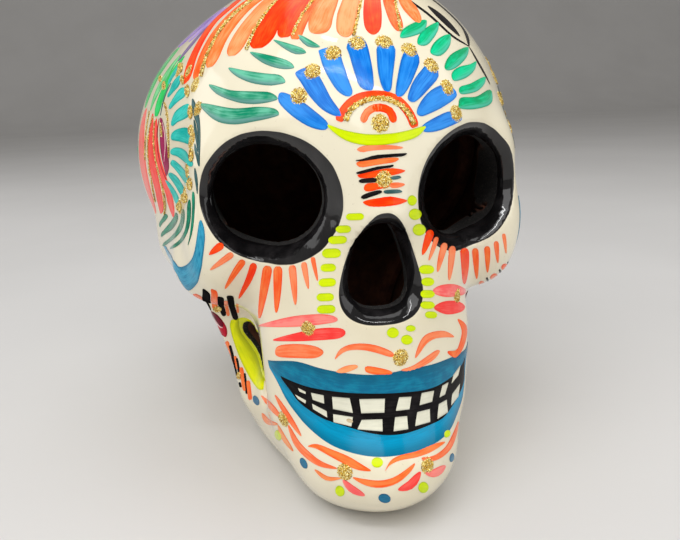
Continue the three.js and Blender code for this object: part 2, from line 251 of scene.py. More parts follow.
# Short cuts for node materials
class Look:
    """A material built from nodes, with the usual short cuts."""

    def __init__(self, name):
        self.mat = bpy.data.materials.new(name)
        self.mat.use_nodes = True
        self.nodes = self.mat.node_tree.nodes
        self.links = self.mat.node_tree.links
        self.shader = self.nodes["Principled BSDF"]

    def put(self, socket, value):
        if isinstance(value, bpy.types.NodeSocket):
            self.links.new(value, socket)
        else:
            socket.default_value = value

    def add(self, kind, *values, **settings):
        """A node with these settings, and with these values in its first inputs."""
        node = self.nodes.new("ShaderNode" + kind)
        for key, value in settings.items():
            if key in node.inputs:
                self.put(node.inputs[key], value)
            else:
                setattr(node, key, value)
        for socket, value in zip(node.inputs, values):
            self.put(socket, value)
        return node

    def set(self, **inputs):
        for key, value in inputs.items():
            self.put(self.shader.inputs[key.replace("_", " ")], value)

    def coords(self):
        return self.add("TexCoord").outputs["Object"]

    def parts(self, vector):
        return tuple(self.add("SeparateXYZ", vector).outputs)

    def attribute(self, name, output="Fac"):
        return self.add("Attribute", attribute_name=name).outputs[output]

    def scaled(self, vector, scale):
        return self.add("Mapping", Vector=vector, Scale=scale).outputs[0]

    def noise(self, vector, scale, detail=3.0, rough=.5):
        node = self.add("TexNoise", Vector=vector, Scale=scale, Detail=detail, Roughness=rough)
        return node.outputs["Fac"]

    def math(self, op, *values):
        return self.add("Math", *values, operation=op).outputs[0]

    def plus(self, a, b):
        return self.math("ADD", a, b)

    def minus(self, a, b):
        return self.math("SUBTRACT", a, b)

    def times(self, a, b):
        return self.math("MULTIPLY", a, b)

    def span(self, value, a, b, x=0.0, y=1.0):
        """A smooth step from x to y while the value goes from a to b."""
        return self.add("MapRange", value, a, b, x, y, interpolation_type="SMOOTHSTEP").outputs[0]

    def mix(self, factor, a, b):
        """A mixed colour."""
        node = self.add("Mix", factor, data_type="RGBA")
        for socket, value in zip(node.inputs[6:8], (a, b)):
            self.put(socket, value if isinstance(value, bpy.types.NodeSocket) else (*value, 1))
        return node.outputs[2]

    def mix_numbers(self, factor, a, b):
        node = self.add("Mix", factor, data_type="FLOAT")
        self.put(node.inputs[2], a)
        self.put(node.inputs[3], b)
        return node.outputs[0]

    def ramp(self, factor, stops):
        node = self.add("ValToRGB", factor)
        elements = node.color_ramp.elements
        while len(elements) < len(stops):
            elements.new(.5)
        for element, (at, colour) in zip(elements, stops):
            element.position = at
            element.color = (*colour, 1)
        return node.outputs[0]

    def bump(self, height, strength, distance):
        node = self.add("Bump", Height=height, Strength=strength, Distance=distance)
        self.put(self.shader.inputs["Normal"], node.outputs[0])


def srgb(*numbers):
    """The linear colour of these numbers from 0 to 255."""
    shares = [v / 255 for v in numbers]
    return tuple(v / 12.92 if v <= .04045 else ((v + .055) / 1.055) ** 2.4 for v in shares)


# The fired shell
def grid_mesh(field, lo, hi, h):
    """Closed surface of a distance field on a grid, with one vertex in each cell that it crosses."""
    axes = [np.arange(a, b + h, h, dtype=np.float32) for a, b in zip(lo, hi)]
    n = [len(a) for a in axes]
    values = np.empty(n, np.float32)
    slab = 12
    for i in range(0, n[0], slab):
        block = np.stack(np.meshgrid(axes[0][i:i + slab], axes[1], axes[2], indexing="ij"), -1)
        values[i:i + slab] = field(block)
    inside = values < 0
    count = np.zeros([k - 1 for k in n], np.int8)
    for i, j, k in np.ndindex(2, 2, 2):
        count += inside[i:n[0] - 1 + i, j:n[1] - 1 + j, k:n[2] - 1 + k]
    active = (count > 0) & (count < 8)
    cells = np.argwhere(active)
    number = np.full(active.shape, -1, np.int64)
    number[active] = np.arange(len(cells))
    verts = np.stack([axes[a][cells[:, a]] + h / 2 for a in range(3)], -1).astype(np.float32)
    quads = []
    for axis in range(3):
        b, c = (axis + 1) % 3, (axis + 2) % 3
        first = [slice(1, -1)] * 3
        first[axis] = slice(0, -1)
        second = list(first)
        second[axis] = slice(1, None)
        here, there = inside[tuple(first)], inside[tuple(second)]
        cross = np.argwhere(here != there)
        sign = here[tuple(cross.T)]
        base = cross + 1
        base[:, axis] -= 1
        ring = []
        for db, dc in ((-1, -1), (0, -1), (0, 0), (-1, 0)):
            q = base.copy()
            q[:, b] += db
            q[:, c] += dc
            ring.append(number[tuple(q.T)])
        quad = np.stack(ring, -1)
        quad[~sign] = quad[~sign][:, ::-1]
        quads.append(quad)
    return settle(field, verts, 4), np.concatenate(quads)


def make_mesh(name, verts, faces, material, normals=None):
    """A mesh object from arrays in millimetres; faces are all quads or all triangles."""
    verts = np.asarray(verts, np.float64) * MM
    faces = np.asarray(faces, np.int32)
    mesh = bpy.data.meshes.new(name)
    mesh.vertices.add(len(verts))
    mesh.vertices.foreach_set("co", verts.astype(np.float32).ravel())
    mesh.loops.add(faces.size)
    mesh.loops.foreach_set("vertex_index", faces.ravel())
    mesh.polygons.add(len(faces))
    mesh.polygons.foreach_set("loop_start", np.arange(0, faces.size, faces.shape[1], dtype=np.int32))
    mesh.polygons.foreach_set("use_smooth", np.ones(len(faces), bool))
    mesh.update()
    mesh.validate()
    if normals is not None:
        mesh.normals_split_custom_set_from_vertices(np.asarray(normals, np.float32).tolist())
    mesh.materials.append(material)
    obj = linked(name, mesh)
    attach(obj, "root")
    return obj


def keep_values(obj, name, values):
    """Numbers or vectors on the vertices, for the material to read."""
    values = np.asarray(values, np.float32)
    kind, key = ("FLOAT", "value") if values.ndim == 1 else ("FLOAT_VECTOR", "vector")
    obj.data.attributes.new(name, kind, "POINT").data.foreach_set(key, values.ravel())


def rim_mask(k, place):
    """One on the black rims of the eyes and the nose, and nothing elsewhere."""
    x, y, z = k.parts(place)
    x = k.math("ABSOLUTE", x)
    across, rise = k.minus(x, EYE_X * MM), k.minus(z, EYE_Z * MM)
    eye = k.math("SQRT", k.plus(k.times(across, across), k.times(rise, rise)))
    eye = k.math("DIVIDE", eye, EYE_R * MM)
    drop = k.math("DIVIDE", k.minus(NOSE_Z * MM, z), NOSE_H * MM)
    width = k.times(k.plus(k.times(drop, NOSE_FLARE), 1.0), NOSE_W * MM)
    width = k.math("MAXIMUM", width, NOSE_W * MM * NOSE_LEAST)
    nose = k.plus(k.math("POWER", k.math("DIVIDE", x, width), NOSE_N),
                  k.math("POWER", k.math("ABSOLUTE", drop), NOSE_N))
    nose = k.math("POWER", nose, 1 / NOSE_N)
    wobble = k.times(k.minus(k.noise(place, 90, 2.0), .5), .06)
    near = k.plus(k.math("MINIMUM", eye, nose), wobble)
    return k.times(k.span(near, .995, 1.005, 1.0, 0.0), k.math("LESS_THAN", y, BLACK_Y * MM))


def glaze_look():
    """Ivory glaze, black rims, yellow round the slots, gritty edges, bare clay inside, painted shade in
    slots.
    """
    k = Look("glaze")
    p = k.coords()
    black = rim_mask(k, p)
    depth_and_slot_shade = k.attribute("depth_and_slot_shade")
    # Deeper places turn to the gritty wall, then bare clay; in the slots the depth grows faster, as
    # painted shade.
    bare = k.span(k.plus(depth_and_slot_shade, k.times(k.noise(p, 700, 4.0, .7), .5)), 1.25, 1.5)
    clouds = k.span(k.noise(p, 30, 3.0), .35, .7)
    ivory = k.mix(clouds, srgb(235, 227, 202), srgb(227, 217, 188))
    specks = k.span(k.noise(p, 1100, 2.0, .8), .70, .74, 0, .25)
    ivory = k.mix(specks, ivory, srgb(150, 130, 100))
    yellow = k.mix(clouds, srgb(226, 232, 0), srgb(196, 204, 0))
    ivory = k.mix(k.span(k.attribute("slot_ring"), 4.1, 4.25, 1, 0), ivory, yellow)
    rim = k.mix(k.span(k.noise(p, 250, 3.0), .4, .7), srgb(17, 16, 17), srgb(34, 32, 33))
    grit = k.noise(p, 2600, 3.0, .8)
    wall = k.mix(k.span(grit, .55, .72), srgb(20, 18, 18), srgb(120, 112, 104))
    inner = k.mix(k.span(k.noise(p, 120, 5.0, .7), .3, .75), srgb(74, 40, 26), srgb(122, 72, 46))
    body = k.mix(bare, k.mix(black, ivory, rim), wall)
    k.set(Base_Color=k.mix(k.span(depth_and_slot_shade, 3.6, 4.3), body, inner))
    k.set(Roughness=k.mix_numbers(bare, k.mix_numbers(black, .09, .06), .85), IOR=1.5)
    brush_marks = k.times(k.noise(p, 420, 2.0, .5), k.mix_numbers(black, .03, .25))
    lift = k.plus(k.noise(p, 60, 2.0, .4), brush_marks)
    k.bump(k.plus(lift, k.times(k.times(grit, bare), 1.2)), .35, .0006)
    return k.mat


def clay_look():
    k = Look("bare_clay")
    p = k.coords()
    tone = k.span(k.noise(p, 140, 5.0, .7), .3, .75)
    k.set(Base_Color=k.mix(tone, srgb(78, 42, 27), srgb(128, 76, 50)), Roughness=.92)
    k.bump(k.noise(p, 900, 4.0, .7), .5, .0004)
    return k.mat


STEP = 1.05
SEAM_Y = 15.0
# Yellow ring round the slot; SHADE and SHADE_EDGE make the depth grow faster there, for painted shade
RING_SHIFT, RING_FREE, SHADE, SHADE_EDGE = .9, 2.5, 2.2, (3.3, 4.0)
glaze = glaze_look()
clay = clay_look()
verts, quads = grid_mesh(solid, (-58, -78, -3), (58, 78, 130), STEP)
skull_normals = unit(gradient(solid, verts, .1))

# Distance round the slot, for its yellow paint; depth in the wall, grown fast in the slot as painted
# shade
beside_slot, along_slot, out_of_slot = slot_place(verts)
slot_ring = np.hypot(np.maximum(np.abs(along_slot) - SLOT_HALF, 0), beside_slot - RING_SHIFT)
slot_ring = slot_ring + 2 * np.maximum(np.abs(out_of_slot) - RING_FREE, 0)
depth_and_slot_shade = -skin(verts) * (1 + SHADE * (1 - smooth(*SHADE_EDGE, slot_ring)))


def shell_part(name, keep, node):
    """One half of the shell, in place of its plain solid."""
    used = np.unique(quads[keep])
    lookup = np.full(len(verts), -1, np.int64)
    lookup[used] = np.arange(len(used))
    obj = make_mesh(name, verts[used], lookup[quads[keep]], glaze, skull_normals[used])
    keep_values(obj, "depth_and_slot_shade", depth_and_slot_shade[used])
    keep_values(obj, "slot_ring", slot_ring[used])
    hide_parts(node)


middle = verts[quads].mean(1)[:, 1]
shell_part("face_shell_fired", middle < SEAM_Y, "face_shell")
shell_part("cranium_shell_fired", middle >= SEAM_Y, "cranium_shell")
for name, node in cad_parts.items():
    if name.startswith("seam"):
        node.data.materials.clear()
        node.data.materials.append(clay)


# Views on which the painter's strokes are drawn
MARCH_STEPS, MARCH_STRIDE = 80, .85
CLEAR, REACH = 60, 200


def meet(start, way, reach):
    """Where lines from these starts meet the skull, or where they pass closest to it."""
    start = start.astype(np.float32)
    way = way.astype(np.float32)
    t = np.zeros(start.shape[:-1], np.float32)
    best = np.full(t.shape, 1e9, np.float32)
    kept = t.copy()
    for _ in range(MARCH_STEPS):
        s = skin(start + way * t[..., None])
        closer = s < best
        best = np.where(closer, s, best)
        kept = np.where(closer, t, kept)
        t = np.where(t < reach, t + MARCH_STRIDE * s, t)
    return settle(skin, start + way * kept[..., None], 2)


def photo(uv):
    """Pixels of the photograph, and a little beyond its upper edge."""
    right, down = (uv - (PHOTO_W / 2, PHOTO_H / 2)).T[:, :, None] / FOCAL
    way = unit(-BACK + right * RIGHT - down * UP)
    return meet(EYE + way * CLEAR, way, REACH)


def straight(axes, start, way):
    """A view along one axis, whose two numbers are millimetres along the two others."""
    def view(uv):
        starts = np.tile(np.array(start, float), (len(uv), 1))
        starts[:, axes] = uv
        return meet(starts, np.tile(way, (len(uv), 1)), 90)
    return view


side = straight((1, 2), (-85, 0, 0), (1, 0, 0))
above = straight((0, 1), (0, 0, 150), (0, 0, -1))
behind = straight((0, 2), (0, 100, 0), (0, -1, 0))


def around(uv):
    """A turn in degrees about the upright middle line, from the front, and a height."""
    a = np.radians(uv[:, 0])
    way = np.stack([np.sin(a), -np.cos(a), np.zeros(len(a))], -1)
    start = way * 110 + np.stack([np.zeros(len(a)), np.full(len(a), 10.0), uv[:, 1]], -1)
    return meet(start, -way, 105)


# Curves and the edges of strokes, which have a knot at each of these shares of their length
KNOTS = 17
SPREAD = .5 - .492 * np.cos(np.linspace(0, math.pi, KNOTS))
ROUND_END, TAPER = .55, .74


def catmull(points, closed=False):
    """A smooth curve through the points, twelve short steps to each stretch."""
    p = np.asarray(points, np.float64)
    if closed:
        p = np.vstack([p[-1], p, p[0], p[1]])
    else:
        p = np.vstack([2 * p[0] - p[1], p, 2 * p[-1] - p[-2]])
    a, b, c, d = p[:-3], p[1:-2], p[2:-1], p[3:]
    t = np.linspace(0, 1, 12, endpoint=False)[:, None, None]
    q = 2 * b + (c - a) * t + (2 * a - 5 * b + 4 * c - d) * t ** 2 + (3 * b - a - 3 * c + d) * t ** 3
    q = q.transpose(1, 0, 2).reshape(-1, p.shape[1]) / 2
    return np.vstack([q, p[1] if closed else p[-2]])


def run_of(q):
    return np.r_[0, np.cumsum(np.linalg.norm(np.diff(q, axis=0), axis=1))]


def pick(q, at, run=None):
    """Points of a fine curve at these shares of its length, or of another run of numbers."""
    run = run_of(q) if run is None else run
    return np.stack([np.interp(at * run[-1], run, q[:, i]) for i in range(q.shape[1])], -1)


def half_width(whole, width, ends):
    """Half the width of a stroke at its knots, with round or tapering ends."""
    t = SPREAD
    if ends == "leaf":
        return width / 2 * np.sin(math.pi * t[:, None]) ** .6
    half = width / 2
    for from_end in (t, 1 - t):
        near = np.clip(from_end * whole / (width * ROUND_END), 0, 1)
        half = half * np.sqrt(1 - (1 - near) ** 2)
    thin = {"bar": 0, "drop": t, "tail": 1 - t}[ends]
    return (half * (1 - TAPER * thin ** 2.2))[:, None]


def ribbon(path, width, ends="bar"):
    """Both edges of one brush stroke along a path."""
    q = catmull(path) if len(path) > 2 else np.asarray(path, np.float64)
    p = pick(q, SPREAD)
    way = unit(np.gradient(p, axis=0))
    across = np.stack([-way[:, 1], way[:, 0]], -1) * half_width(run_of(q)[-1], width, ends)
    return p + across, p - across


def brush(path, width, ends, view, lead=0.0):
    """Both edges of a stroke whose width and extra lead are in millimetres on the skull."""
    q = view(np.array(path, float))
    q[0] -= unit(q[1] - q[0]) * lead
    q = catmull(q)
    p = pick(q, SPREAD)
    out = unit(gradient(skin, p.astype(np.float32), .4))
    across = unit(np.cross(out, np.gradient(p, axis=0))) * half_width(run_of(q)[-1], width, ends)
    return p + across, p - across


def blob(outline):
    """Both edges of a closed outline, from one of its far ends to the other."""
    q = catmull(outline, closed=True)[:-1]
    gap = np.linalg.norm(q[:, None] - q[None], axis=-1)
    i, j = sorted(np.unravel_index(gap.argmax(), gap.shape))
    one = q[i:j + 1]
    two = np.vstack([q[j:], q[:i + 1]])[::-1]
    if one[:, 1].mean() > two[:, 1].mean():
        one, two = two, one
    return pick(one, SPREAD), pick(two, SPREAD)


def band(one, two):
    """Both edges of a curved band, given from the same end."""
    return pick(catmull(one), SPREAD), pick(catmull(two), SPREAD)


def dot(centre, rx, ry=None, turn=0.0):
    """Both edges of an oval dot."""
    ry = rx if ry is None else ry
    a = np.linspace(.06, math.pi - .06, KNOTS)
    c, s = math.cos(math.radians(turn)), math.sin(math.radians(turn))
    turned = np.array(((c, s), (-s, c)))
    return [np.stack([-np.cos(a) * rx, way * np.sin(a) * ry], -1) @ turned + centre for way in (1, -1)]


def tile(corners):
    """Both edges of a four-cornered patch."""
    p = np.asarray(corners, np.float64)
    t = np.linspace(0, 1, KNOTS)[:, None]
    return p[0] + (p[1] - p[0]) * t, p[3] + (p[2] - p[3]) * t


# Films of paint, in millimetres: the heights of border, underside and top over the skin, the rise for
# each level and the narrow rim; the spacing of the mesh and its most points along and across; and how
# far back the mirrored temple lies
STROKES = []
SINK, UNDER, FILM, STACK, RIM = -.05, -.3, .10, .07, .12
PITCH = .75
MOST_LONG, MOST_WIDE = 110, 34
TEMPLE_BACK = 5.0


def paint(motif, colour, edges, view=photo, level=0, mirror=False):
    """Notes down a stroke; without a view, its edges are places in millimetres."""
    STROKES.append(dict(motif=motif, colour=colour, edges=edges, view=view, level=level,
                        mirror=mirror, seed=rng.random(), tone=rng.random()))


def lay_strokes():
    """Puts the edges of every stroke on the skull, one call for each view, and mirrors them."""
    for view in (photo, side, above, behind, around):
        group = [s for s in STROKES if s["view"] is view]
        where = view(np.concatenate([np.concatenate(s["edges"]) for s in group]))
        for s, edges in zip(group, where.reshape(-1, 2, KNOTS, 3)):
            s["edges"] = edges
    for s in [s for s in STROKES if s["mirror"]]:
        back = (0, TEMPLE_BACK if s["motif"].startswith("temple") else 0, 0)
        edges = [edge * (-1, 1, 1) + back for edge in s["edges"]]
        STROKES.append(dict(s, motif=s["motif"] + "_right", edges=edges))


def film_grid(s):
    """The points of one stroke between its edges, before they settle on the skull."""
    one, two = s["edges"]
    a, b = catmull(one), catmull(two)
    long = max(run_of(a)[-1], run_of(b)[-1], .5)
    wide = max(np.linalg.norm(one - two, axis=-1).max(), .2)
    n = int(np.clip(long / PITCH, 10, MOST_LONG))
    m = int(np.clip(wide / PITCH, 3, MOST_WIDE))
    rim_n, rim_m = min(RIM / long, .08), min(RIM / wide, .2)
    u = np.r_[0, np.linspace(rim_n, 1 - rim_n, n), 1]
    v = np.r_[0, np.linspace(rim_m, 1 - rim_m, m), 1]
    steps = np.arange(len(a), dtype=float)
    pa, pb = pick(a, u, steps), pick(b, u, steps)
    grid = pa[:, None] + (pb - pa)[:, None] * v[None, :, None]
    return grid, u, v, long, wide


def film(s, grid, normal, u, v, long, wide):
    """A thin closed film: its top, and an underside inside the wall that shares the border."""
    n, m = len(u), len(v)
    inner = np.zeros((n, m))
    inner[1:-1, 1:-1] = 1
    crown = (1 - (2 * v - 1) ** 2)[None, :] * min(wide * .01, .04)
    height = SINK + inner * (FILM - SINK + STACK * s["level"] + crown)
    top = grid + normal * height[..., None]
    low = grid[1:-1, 1:-1] + normal[1:-1, 1:-1] * UNDER
    number = np.arange(n * m).reshape(n, m)
    under = number.copy()
    under[1:-1, 1:-1] = n * m + np.arange((n - 2) * (m - 2)).reshape(n - 2, m - 2)
    quads = [np.stack([k[:-1, :-1], k[1:, :-1], k[1:, 1:], k[:-1, 1:]], -1).reshape(-1, 4)
             for k in (number, under)]
    across = np.cross(grid[1:, :-1] - grid[:-1, :-1], grid[:-1, 1:] - grid[:-1, :-1])
    turned = 1 if (across * normal[1:, 1:]).sum() > 0 else 0
    quads[turned] = quads[turned][:, ::-1]
    points = np.concatenate([top.reshape(-1, 3), low.reshape(-1, 3)])
    face_out = np.concatenate([normal.reshape(-1, 3), -normal[1:-1, 1:-1].reshape(-1, 3)])
    uu, vv = np.meshgrid(u, v, indexing="ij")
    place = np.stack([uu, vv, np.full_like(uu, s["seed"])], -1)
    run = np.stack([uu * long, vv * wide + 40 * s["seed"], np.full_like(uu, s["tone"])], -1)
    both = [np.concatenate([k.reshape(-1, 3), k[1:-1, 1:-1].reshape(-1, 3)]) for k in (place, run)]
    return points, np.concatenate(quads), face_out, *both


def film_object(name, films, look):
    """Several films as one object."""
    columns = [list(column) for column in zip(*films)]
    starts = np.cumsum([0] + [len(points) for points in columns[0]])
    columns[1] = [faces + start for faces, start in zip(columns[1], starts)]
    points, faces, face_out, place, run = (np.concatenate(column) for column in columns)
    obj = make_mesh(name, points, faces, look, face_out)
    keep_values(obj, "place", place)
    keep_values(obj, "run", run)


def settle_films(strokes):
    """Every film's grid laid on the skull in one go, with its normals."""
    grids = [film_grid(s) for s in strokes]
    flat = np.concatenate([g[0].reshape(-1, 3) for g in grids]).astype(np.float32)
    flat = settle(skin, flat, 5)
    normal = unit(gradient(skin, flat, .3))
    out, start = [], 0
    for grid, *rest in grids:
        end = start + grid.size // 3
        out.append((flat[start:end].reshape(grid.shape), normal[start:end].reshape(grid.shape), *rest))
        start = end
    return out


# Colours from 0 to 255 where a paint lies thick, where it lies thin, and for some along one side
PAINTS = {
    "blue": ((0, 110, 212), (44, 146, 236)),
    "lip_blue": ((4, 104, 140), (12, 130, 162), (0, 150, 194)),
    "band_blue": ((10, 118, 158), (64, 164, 198)),
    "dot_blue": ((18, 98, 136), (34, 118, 154)),
    "red_orange": ((250, 50, 0), (255, 88, 20)),
    "orange": ((252, 84, 14), (255, 132, 66)),
    "coral": ((252, 108, 56), (254, 148, 100)),
    "peach": ((253, 124, 54), (254, 168, 110)),
    "pink": ((254, 96, 96), (255, 142, 132)),
    "rose": ((250, 58, 54), (255, 98, 88)),
    "crimson": ((160, 8, 34), (196, 28, 50)),
    "maroon": ((84, 4, 24), (128, 12, 44)),
    "magenta": ((108, 6, 50), (168, 40, 92)),
    "violet": ((146, 110, 202), (194, 166, 232)),
    "plum": ((108, 88, 132), (158, 136, 176)),
    "pale_line": ((240, 190, 190), (248, 216, 214)),
    "lime": ((200, 226, 0), (216, 238, 6)),
    "lemon": ((208, 222, 0), (236, 240, 0), (176, 184, 0)),
    "teal_leaf": ((16, 142, 104), (112, 200, 168), (104, 150, 146)),
    "emerald": ((0, 166, 104), (6, 212, 150), (84, 196, 168)),
    "bright_green": ((0, 192, 70), (52, 216, 116)),
    "leaf_green": ((66, 188, 100), (138, 226, 156)),
    "turquoise": ((0, 170, 160), (64, 206, 194)),
    "dark_green": ((0, 104, 76), (40, 152, 118)),
    "slate_green": ((30, 72, 70), (86, 122, 126)),
    "black": ((19, 17, 18), (34, 31, 32)),
    "tooth": ((216, 214, 194), (228, 226, 206)),
    "chip": ((150, 122, 84), (206, 186, 150)),
    "gold": ((206, 138, 36), (246, 214, 120)),
}


def paint_look(name, dull=False):
    """One paint; the dull kind is for the sides, where the pale floor would wash it out."""
    deep, pale, *edge = PAINTS[name]
    k = Look("paint_" + name + ("_dull" if dull else ""))
    run = k.attribute("run", "Vector")
    across = k.parts(k.attribute("place", "Vector"))[1]
    tone = k.parts(run)[2]
    streak = k.noise(k.scaled(run, (.22, 2.6, 1)), 1.0, 3.0, .6)
    cloud = k.noise(k.scaled(run, (.30, .42, 1)), 1.0, 2.0, .5)
    thin = k.plus(k.times(streak, .55), k.times(cloud, .55))
    thin = k.plus(thin, k.times(k.minus(tone, .5), .14))
    body = k.mix(k.span(thin, .38, .68), srgb(*deep), srgb(*pale))
    for colour in edge:
        body = k.mix(k.span(k.plus(across, k.times(streak, .5)), .68, 1.2), body, srgb(*colour))
    rim = k.math("ABSOLUTE", k.minus(k.times(across, 2.0), 1.0))
    warm = (1, .74, .5) if deep[0] > 230 and deep[1] < 180 else (.8, .8, .8)
    body = k.mix(k.span(rim, .6, 1.0, 0, .65), body, srgb(*[c * f for c, f in zip(deep, warm)]))
    if name == "gold":
        fleck = k.noise(k.coords(), 3400, 2.0, .8)
        body = k.ramp(fleck, [(.38, srgb(104, 62, 6)), (.47, srgb(206, 148, 26)),
                              (.54, srgb(238, 208, 92)), (.62, srgb(255, 248, 196))])
    k.set(Base_Color=body, Roughness=.09)
    shine = .05 if dull or name == "black" else .17
    k.set(Specular_IOR_Level=0.0 if dull and name == "black" else shine)
    k.bump(streak, .08, .0003)
    return k.mat


def glitter_look():
    k = Look("gold_glitter")
    k.set(Base_Color=k.ramp(k.attribute("tone"), [(0, srgb(112, 68, 4)), (.35, srgb(210, 156, 28)),
                                                  (.6, srgb(240, 214, 90)), (1, srgb(255, 254, 208))]))
    k.set(Metallic=.5, Roughness=.28)
    return k.mat


# The painted ornament that the photograph shows: outlines, edges and paths in its pixels. A number
# before a path is the width of the stroke.
FAN_PETALS = [
    [(277.9, 99.8), (282, 92.2), (298.5, 98.7), (314.7, 110.6), (327.7, 122.6), (324.5, 130),
     (309.3, 127), (293, 117), (282, 106.8)],
    [(295.7, 72.7), (312, 67), (322, 80.3), (331, 97.6), (341.3, 112.8), (337.5, 116.6), (323.4, 110.6),
     (310.4, 97.6), (300.6, 82.4)],
    [(319.6, 55.3), (320, 50), (336.4, 47.7), (344, 65), (349.4, 81.3), (352.7, 92.2), (347.3, 96.5),
     (336.4, 90), (324.5, 70.5)],
    [(346.4, 44.8), (357.9, 37.6), (366.4, 42.4), (371.2, 60.6), (373.6, 77.6), (372.4, 89.7),
     (360.3, 87.3), (354.2, 72.7), (349.4, 55.8)],
    [(378, 46), (394, 46), (395.5, 54.5), (393, 75.2), (390.6, 90.3), (383.3, 89.7), (378.5, 75.2),
     (376.7, 58.2)],
    [(408.8, 45.5), (419.7, 58.2), (414.8, 75.2), (407.6, 89.7), (401.5, 96.4), (395.5, 93.3),
     (399, 67.9), (402.7, 54.5)],
    [(430.6, 61.8), (439, 75.2), (429.4, 88.5), (417.3, 100.6), (411.2, 101.8), (407.6, 97),
     (412.4, 82.4), (420.9, 70.3)],
    [(447.6, 84.2), (456.7, 95.8), (443.9, 106.7), (429.4, 113.9), (420.9, 116.4), (416.7, 111.5),
     (422, 99.4), (433, 88.5)],
    [(451.2, 110.9), (461.5, 119.4), (451.2, 126), (436.7, 131.5), (424.5, 132), (422, 126),
     (434.2, 117.6)],
]
ARCH_OUTER = [(338.5, 122), (344, 110), (357, 98.5), (378.5, 95), (397, 100), (409, 113), (415.5, 128)]
ARCH_GOLD = [(345, 121), (352, 108.5), (364, 101), (380, 98), (396, 102.5), (408, 113), (414, 125)]
ARCH_INNER_LEFT = [(362.6, 122.5), (366.5, 113), (374, 108), (382, 107.6)]
ARCH_INNER_RIGHT = [(372, 108.6), (381, 107.6), (390, 111.4), (394.4, 122.5)]
BROW_CRESCENT = [(328, 124.5), (343.3, 129.7), (366.4, 133.9), (390.6, 133.3), (407.6, 130.3), (424, 126),
    (424, 129.7), (414.8, 138.2), (390.6, 144.2), (366.4, 145.5), (345.8, 140.6), (331, 130)]
LEFT_LEAVES = [
    [(200.8, 103.6), (233, 108), (258, 106.6), (274.6, 108.5), (279, 114.4), (272, 117.7), (255, 121.5),
     (233, 124.7), (214, 120)],
    [(209.7, 84.4), (231, 90), (250.7, 91), (270, 92.2), (277.6, 98.9), (266, 103), (250.7, 104.3),
     (235.5, 102), (217, 94.4)],
    [(229, 67.8), (246.4, 70.5), (266, 73.2), (280, 74.8), (285.4, 82.1), (276.8, 85), (268, 85.7),
     (250.7, 83), (235.5, 75.9)],
    [(250.2, 52.3), (266, 54.2), (283.3, 58.6), (290.9, 62.4), (294, 67.8), (284.4, 69.4), (272.4, 67.2),
     (260.5, 61.8)],
    [(273.7, 40), (283.3, 41.8), (296.3, 45.6), (302.8, 48.3), (306, 53), (296.3, 54.6), (287.6, 51),
     (279, 45)],
    [(295.7, 33), (309, 39), (320, 46.6), (310, 47.5), (303, 43.4)],
]
RIGHT_LEAVES = [
    [(400.6, 37.8), (403, 29), (415, 22), (426, 20.4), (424.4, 31), (413, 36.4)],
    [(417.7, 44), (419, 35), (427.4, 26.6), (437.6, 22.6), (437.4, 32), (427.6, 45)],
    [(430.6, 53), (433, 43.6), (442, 36), (450, 35.4), (449.6, 46.6), (440.6, 56)],
    [(444.4, 66), (449, 56), (459, 49.4), (468, 47.6), (466.6, 57.4), (456.7, 67.6), (447.6, 70.4)],
    [(451.6, 73), (458.6, 66.8), (470, 64), (476, 61.6), (474, 71), (465.2, 78.4), (454, 80.8)],
    [(459.6, 87), (470, 83.4), (484, 76.8), (484.4, 84), (476.2, 91.8), (461.4, 94.2)],
    [(458.6, 103.6), (461, 97.4), (476, 96.4), (489, 89.6), (492.4, 97.4), (489.6, 105), (473.7, 109.4),
     (460, 108.4)],
]
CROWN_SIDE_STROKES = [  # colour, width in millimetres on the skull, path
    ("red_orange", 5.4, (186.6, 83), (191, 63), (197.4, 48), (206, 33), (216, 20), (232, 6), (242, -3)),
    ("orange", 4.4, (195.6, 79), (199.6, 65), (205, 51), (213, 36), (224, 22), (240, 7), (266, -9)),
    ("peach", 5.7, (209.6, 68), (214.6, 54), (221, 40), (231, 25), (245, 9), (262, -4), (284, -15)),
]
CROWN_STROKES = [
    ("peach", 6.1, (231.6, 56.6), (241, 36), (257, 15), (273, -1), (294, -15)),
    ("red_orange", 6.9, (257.5, 49), (265.8, 28), (278, 8), (292, -5), (314, -19)),
    ("red_orange", 4.4, (284.6, 38), (289.6, 20), (300, 3), (311, -11), (322, -20)),
    ("orange", 2.8, (294.6, 40), (301.6, 22), (312, 4), (320, -9), (328, -20)),
]
CROWN_GOLD = [
    [(201, 77), (205, 62), (211, 47.6), (220, 31), (233, 16), (250, 2), (268, -9)],
    [(246.4, 50), (253.6, 33), (264, 16), (278, -1), (292, -12)],
    [(292.6, 36), (300, 19), (312.6, 1), (321, -11)],
    [(353.4, 36), (357.8, 16), (361.2, 0), (362, -13)],
    [(394, -10), (395.4, 4), (397.6, 17), (400.4, 31)],
]
BROAD_STROKES = [
    ("peach", [(318, 34), (309, 30), (309.6, 14), (319, -1), (330, -19), (341, -20), (338.6, 0),
     (333.6, 16), (329.6, 30)]),
    ("peach", [(345, 37), (336.6, 31), (337, 14), (342.6, -2), (346, -22), (359, -22), (360.4, 0),
     (357.6, 16), (353, 33)]),
    ("red_orange", [(373, 34.6), (365, 28), (363, 12), (364.6, -6), (366, -24), (379, -24), (380.6, -2),
     (382, 14), (380.6, 29)]),
    ("orange", [(397.6, 31), (391, 24), (386, 12), (382.6, -2), (384, -22), (395, -22), (393.4, -2),
     (398.4, 10), (403, 26)]),
    ("peach", [(417.6, 23), (408, 15), (400, 4), (396, -12), (405, -20), (410, -2), (417, 8),
     (421.4, 19)]),
]
CROWN_LOOP = [  # width in millimetres on the skull, path
    (1.2, (396, -12), (408.8, 0), (427, 13.3), (451.2, 35.2), (468.8, 46.7)),
    (2.2, (468.8, 46.7), (463.3, 29), (447.6, 12), (433, 0), (418, -10)),
    (3.7, (427.6, 6), (444, 20), (459.7, 36.4)),
    (1.4, (468.8, 46.7), (479, 64.2), (490, 84.8)),
]
